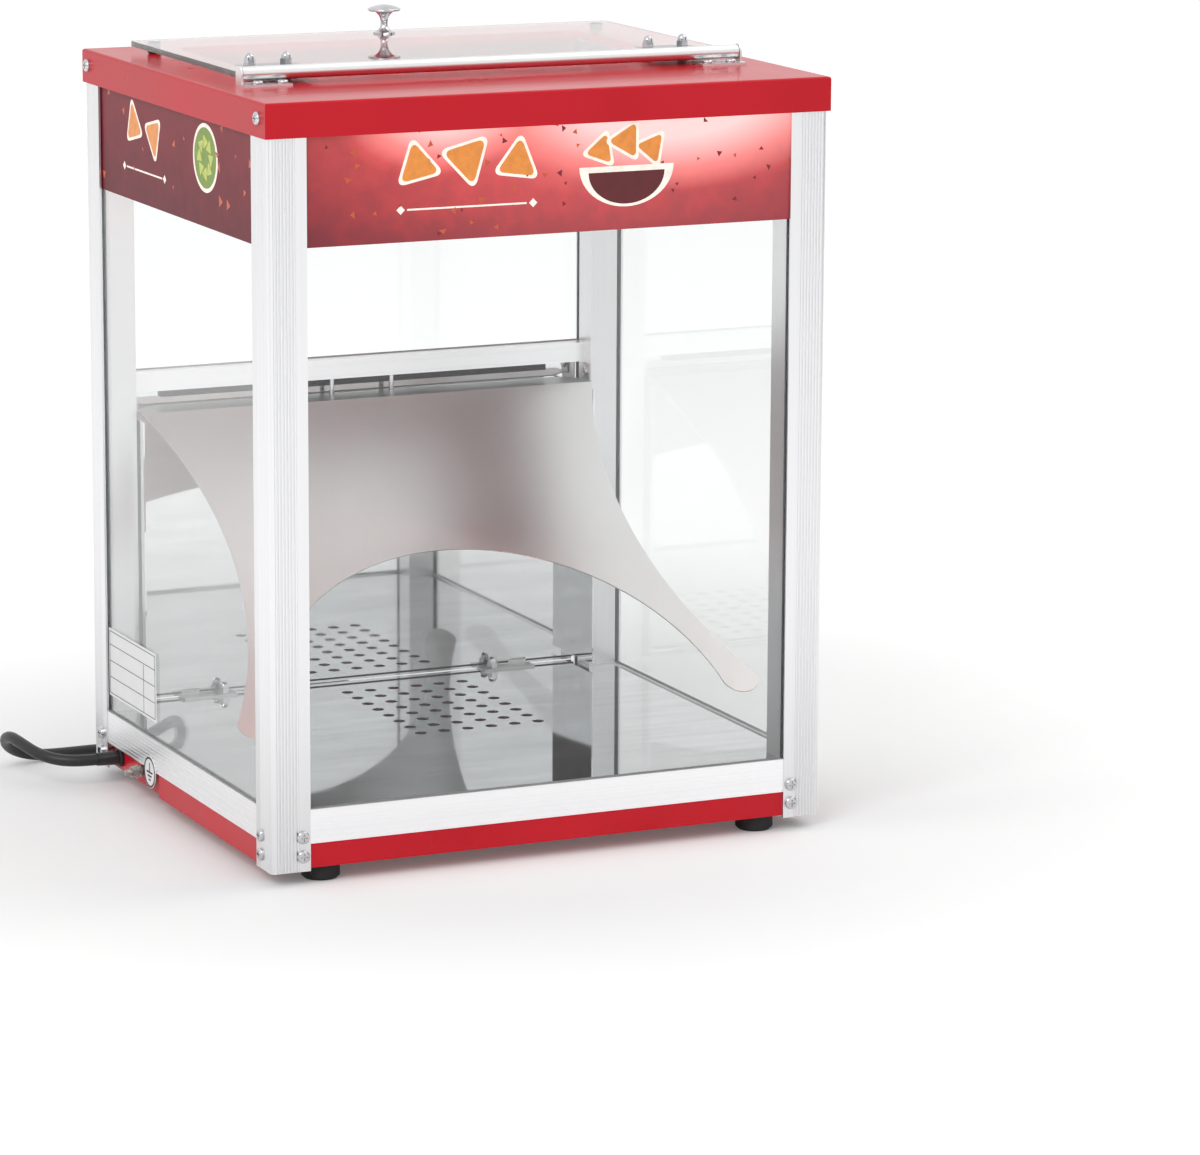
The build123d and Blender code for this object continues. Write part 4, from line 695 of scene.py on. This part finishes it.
def add_piece(name, shape, place, material, body="cabinet"):
    """A finished bmesh, laid in its place, becomes a piece that rides on a body."""
    bmesh.ops.transform(shape, matrix=place, verts=shape.verts)
    data = bpy.data.meshes.new(name)
    shape.to_mesh(data)
    shape.free()
    data.materials.append(material)
    made = bpy.data.objects.new(name, data)
    bpy.context.scene.collection.objects.link(made)
    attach(made, body)
    return made


PRINT_T = 0.12 * MM  # film of one printed colour
# The glow of each ink is painted backlight, given as emission.
print_cream = ink("print_cream", (250, 238, 226), 0.35)
print_amber = ink("print_amber", (222, 138, 60), 0.3)
print_orange = ink("print_orange", (206, 92, 52), 0.1)
print_maroon = ink("print_maroon", (98, 14, 24))
print_brown = ink("print_brown", (124, 30, 36), 0.1)
print_green = ink("print_green", (120, 150, 40), 0.1)
print_lime = ink("print_lime", (196, 206, 96), 0.15)


def sign_face(node, outward):
    """Middle of a sign's outer face, and its width and height."""
    low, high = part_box(node)
    centre = (low + high) / 2
    half = Vector(abs(a) * b / 2 for a, b in zip(outward, high - low))
    point = centre + Vector(math.copysign(h, o) if h else 0.0 for h, o in zip(half, outward))
    wide = high.x - low.x if outward.x == 0 else high.y - low.y
    return point, wide, high.z - low.z


def flecks(seed, wide, tall, count, big):
    """Scattered small triangles."""
    pick = random.Random(seed)
    parts = []
    for _ in range(count):
        x = pick.uniform(-0.49, 0.49) * wide
        y = pick.uniform(-0.46, 0.42) * tall
        size = pick.uniform(0.35, 1.0) * big
        stretch = (size, size * pick.uniform(0.6, 1.0), 1.0)
        parts.append((disc(1.0, 3), placed(x, y, pick.uniform(0, 2 * math.pi), stretch)))
    return drawn(parts, PRINT_T)


def chips_at(places, shrink, depth_scale=1.0):
    """Chips of one colour, each given as x, y, turn in degrees and radius, in millimetres."""
    return [
        (chip((radius - shrink) * MM * depth_scale), placed(x * MM, y * MM, math.radians(turn)))
        for x, y, turn, radius in places
    ]


def rule_line(x, y, length):
    """A thin rule that ends in two small lozenges."""
    parts = [(bar(length * MM, 1.3 * MM), placed(x * MM, y * MM))]
    for side in (-1, 1):
        parts.append((disc(3.2 * MM, 4), placed((x + side * (length / 2 + 5)) * MM, y * MM)))
    return parts


def print_front_sign():
    """Front sign: three chips over a rule, and a bowl with chips standing in it."""
    point, wide, tall = sign_face("front_sign", FRONT)
    levels = [laid_on(point + FRONT * PRINT_T * step, FRONT) for step in range(6)]
    loose = [(-104, 4, 12, 22), (-66, 7, 74, 24), (-27, 3, -8, 22)]
    standing = [(38, 8, 100, 17), (78, 8, 80, 17), (58, 14, 90, 19)]
    rims = chips_at(loose + standing[:2], 0) + rule_line(-66, -27, 92)
    fills = chips_at(loose + standing[:2], 4.2)
    bowl_at = placed(58 * MM, -4 * MM, 0.0, (1.2, 0.95, 1.0))
    dip_at = placed(58 * MM, -8.2 * MM, 0.0, (1.2, 0.93, 1.0))
    add_piece("front_print_rims", drawn(rims, PRINT_T), levels[0], print_cream)
    add_piece("front_print_chips", drawn(fills, PRINT_T), levels[1], print_amber)
    middle_rim = drawn(chips_at(standing[2:], 0), PRINT_T)
    add_piece("front_print_middle_rim", middle_rim, levels[2], print_cream)
    middle_chip = drawn(chips_at(standing[2:], 4.2), PRINT_T)
    add_piece("front_print_middle_chip", middle_chip, levels[3], print_amber)
    bowl = drawn([(lower_half(disc(31 * MM, 48)), bowl_at)], PRINT_T)
    add_piece("front_print_bowl", bowl, levels[4], print_cream)
    dip = drawn([(lower_half(disc(25 * MM, 48)), dip_at)], PRINT_T)
    add_piece("front_print_dip", dip, levels[5], print_maroon)
    bright = flecks(14, wide, tall, 26, 4.2 * MM)
    add_piece("front_print_flecks", bright, levels[0], print_orange)
    add_piece("front_print_dark", flecks(17, wide, tall, 30, 3.0 * MM), levels[0], print_brown)


def print_side_sign(side, node, outward, seed):
    """Side sign: two chips over a rule, and a cut lime."""
    point, wide, tall = sign_face(node, outward)
    levels = [laid_on(point + outward * PRINT_T * step, outward) for step in range(3)]
    pair = [(-88, 7, 12, 22), (-46, 3, 72, 22)]
    rims = chips_at(pair, 0) + rule_line(-66, -26, 76)
    rims.append((disc(25 * MM, 48), placed(62 * MM, 0.0)))
    wedges = []
    for step in range(8):
        turn = step * math.pi / 4
        at = (62 * MM + 11.5 * MM * math.cos(turn), 11.5 * MM * math.sin(turn))
        wedges.append((chip(6.4 * MM), placed(*at, turn + math.pi)))
    add_piece(f"{side}_print_rims", drawn(rims, PRINT_T), levels[0], print_cream)
    add_piece(f"{side}_print_chips", drawn(chips_at(pair, 4.2), PRINT_T), levels[1], print_amber)
    peel = drawn([(disc(22 * MM, 48), placed(62 * MM, 0.0))], PRINT_T)
    add_piece(f"{side}_print_peel", peel, levels[1], print_green)
    add_piece(f"{side}_print_wedges", drawn(wedges, PRINT_T), levels[2], print_lime)
    add_piece(f"{side}_print_flecks", flecks(seed, wide, tall, 22, 5.0 * MM), levels[0], print_orange)


print_front_sign()
print_side_sign("left", "left_sign", LEFT, 21)
print_side_sign("right", "right_sign", RIGHT, 31)


# ------------------------------------------------------------------ rear door's sheet edges
DOOR_T = 1.2 * MM
CORNER = 31.0 * MM  # side of a cheek's lower corner
PROUD = 0.05 * MM


def door_sheet(name, low, high):
    """A flat piece of the door's sheet between two corners."""
    shape = bmesh.new()
    bmesh.ops.create_cube(shape, size=1.0)
    bmesh.ops.scale(shape, vec=high - low, verts=shape.verts)
    add_piece(name, shape, Matrix.Translation((low + high) / 2), mirror_sheet, "door")


def make_door_edges():
    """A lip that closes the slit over the floor plate, and the square lower corners of the cheeks."""
    low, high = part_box("rear_door")
    floor_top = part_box("floor_plate")[1].z
    plate_y = high.y - DOOR_T
    lip_low = Vector((low.x + 2 * MM, plate_y, floor_top + 0.5 * MM))
    door_sheet("door_lip", lip_low, Vector((high.x - 2 * MM, plate_y + 0.8 * MM, low.z + 1.5 * MM)))
    corner_z = low.z + 1.8 * MM
    for side, edge in (("left", low.x), ("right", high.x - DOOR_T)):
        corner_low = Vector((edge - PROUD, plate_y - CORNER, corner_z))
        corner_high = Vector((edge + DOOR_T + PROUD, plate_y, corner_z + CORNER))
        door_sheet(f"door_corner_{side}", corner_low, corner_high)


make_door_edges()


# ------------------------------------------------------------------ marks on plates
black_ink = ink("black_ink", (24, 24, 26))


def mark_earth_disc():
    """The usual earth sign in a ring."""
    low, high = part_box("earth_disc")
    centre = Vector((low.x, (low.y + high.y) / 2, (low.z + high.z) / 2))
    radius = (high.z - low.z) / 2
    lines = [(ring(radius * 0.97, radius * 0.84), placed(0.0, 0.0))]
    lines.append((bar(radius * 0.1, radius * 0.6), placed(0.0, radius * 0.3)))
    for step, share in enumerate((1.0, 0.66, 0.33)):
        lines.append((bar(radius * share, radius * 0.11), placed(0.0, -radius * 0.24 * step)))
    add_piece("earth_sign", drawn(lines, PRINT_T), laid_on(centre, LEFT), black_ink)


def mark_data_plate():
    """Ruled but empty boxes of the rating plate."""
    low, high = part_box("data_plate")
    centre = Vector((low.x, (low.y + high.y) / 2, (low.z + high.z) / 2))
    wide = high.y - low.y
    tall = high.z - low.z
    line = 0.5 * MM
    lines = [(outline(wide - 4 * MM, tall - 4 * MM, line), placed(0.0, 0.0))]
    for share in (0.26, 0.02, -0.22):
        lines.append((bar(wide - 4 * MM, line), placed(0.0, share * tall)))
    lines.append((bar(line, tall * 0.7), placed(wide * 0.24, -tall * 0.1)))
    add_piece("data_plate_rules", drawn(lines, PRINT_T), laid_on(centre, LEFT), black_ink)


def mark_panel():
    """Plain tick marks round the thermostat's dial."""
    low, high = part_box("thermostat_knob")
    panel_low, panel_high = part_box("control_panel")
    centre = Vector(((low.x + high.x) / 2, panel_high.y, (low.z + high.z) / 2))
    radius = (high.x - low.x) / 2
    ticks = []
    for step in range(11):
        turn = math.radians(-60 + 30 * step)
        at = (radius - 0.4 * MM + 1.2 * MM) * math.cos(turn), (radius + 0.8 * MM) * math.sin(turn)
        ticks.append((bar(1.6 * MM, 0.5 * MM), placed(*at, turn)))
    add_piece("dial_ticks", drawn(ticks, PRINT_T), laid_on(centre, REAR), enamel)


mark_earth_disc()
mark_data_plate()
mark_panel()


# ------------------------------------------------------------------ studio
def seen_rays(nodes_of, links):
    """1 for rays from the camera, from a gloss or through glass."""
    rays = nodes_of.new("ShaderNodeLightPath")
    value = rays.outputs["Is Camera Ray"]
    for name in ("Is Glossy Ray", "Is Transmission Ray"):
        most = nodes_of.new("ShaderNodeMath")
        most.operation = "MAXIMUM"
        links.new(value, most.inputs[0])
        links.new(rays.outputs[name], most.inputs[1])
        value = most.outputs[0]
    return value


def make_world():
    """White behind the object, and a plain grey-white light on it."""
    world = bpy.data.worlds.new("studio")
    world.use_nodes = True
    bpy.context.scene.world = world
    tree = world.node_tree
    lighting = tree.nodes["Background"]
    lighting.inputs["Color"].default_value = (1.0, 1.0, 1.0, 1.0)
    lighting.inputs["Strength"].default_value = 0.62
    shown = tree.nodes.new("ShaderNodeBackground")
    shown.inputs["Color"].default_value = (1.0, 1.0, 1.0, 1.0)
    shown.inputs["Strength"].default_value = 1.0
    mix = tree.nodes.new("ShaderNodeMixShader")
    tree.links.new(seen_rays(tree.nodes, tree.links), mix.inputs[0])
    tree.links.new(lighting.outputs[0], mix.inputs[1])
    tree.links.new(shown.outputs[0], mix.inputs[2])
    tree.links.new(mix.outputs[0], tree.nodes["World Output"].inputs["Surface"])


def make_floor():
    """White floor that keeps the shadow, with a painted shade: its glow is weaker near the cabinet, so the
    floor round its foot shows darker.
    """
    shape = bmesh.new()
    bmesh.ops.create_grid(shape, x_segments=1, y_segments=1, size=8.0)
    data = bpy.data.meshes.new("floor")
    shape.to_mesh(data)
    shape.free()
    floor = bpy.data.objects.new("floor", data)
    floor.location = (0.0, 0.0, -0.0002)
    bpy.context.scene.collection.objects.link(floor)
    made = Finish("floor_white", (0.84, 0.84, 0.84), 0.9)
    made.put("Specular IOR Level", 0.0)
    glow = made.nodes.new("ShaderNodeEmission")
    glow.inputs["Color"].default_value = (1.0, 1.0, 1.0, 1.0)
    # Painted shade: less glow near the cabinet, more further off.
    near = made.halo(made.where((1.0, 1.0, 1.0), middle))
    glow_with_painted_shade = made.spread(near, 0.52, 0.1, 0.0, 0.7)
    made.links.new(
        made.sums("MULTIPLY", seen_rays(made.nodes, made.links), glow_with_painted_shade), glow.inputs["Strength"]
    )
    both = made.nodes.new("ShaderNodeAddShader")
    made.links.new(made.shader.outputs[0], both.inputs[0])
    made.links.new(glow.outputs[0], both.inputs[1])
    made.links.new(both.outputs[0], made.nodes["Material Output"].inputs["Surface"])
    data.materials.append(made.material)


def make_lamp(name, where, size, power):
    """A soft box that looks at the middle of the cabinet."""
    data = bpy.data.lights.new(name, "AREA")
    data.shape = "SQUARE"
    data.size = size
    data.energy = power
    lamp = bpy.data.objects.new(name, data)
    lamp.location = where
    aim = middle + UP * 0.28 - Vector(where)
    lamp.rotation_mode = "QUATERNION"
    lamp.rotation_quaternion = aim.to_track_quat("-Z", "Y")
    bpy.context.scene.collection.objects.link(lamp)


def make_card(name, where, wide, tall, turn):
    """A black card beside the set, which only glosses see, so that bright metal has dark edges."""
    shape = bar(wide, tall)
    stand = Matrix.Rotation(turn, 4, "Z") @ Matrix.Rotation(math.radians(90), 4, "X")
    bmesh.ops.transform(shape, matrix=Matrix.Translation(where) @ stand, verts=shape.verts)
    data = bpy.data.meshes.new(name)
    shape.to_mesh(data)
    shape.free()
    card = bpy.data.objects.new(name, data)
    bpy.context.scene.collection.objects.link(card)
    data.materials.append(Finish(name, (0.01, 0.01, 0.01), 1.0).material)
    card.visible_camera = False
    card.visible_diffuse = False
    card.visible_transmission = False
    card.visible_shadow = False


make_world()
make_floor()
make_card("left_card", (-1.9, -2.0, 0.9), 0.7, 1.9, math.radians(-45))
make_card("right_card", (2.3, -1.2, 0.8), 0.9, 1.9, math.radians(60))
make_lamp("key_light", (-2.1, -2.0, 2.2), 1.7, 44.0)
make_lamp("top_light", (1.5, -0.3, 2.3), 1.8, 12.0)
bpy.context.scene.view_settings.view_transform = "Standard"
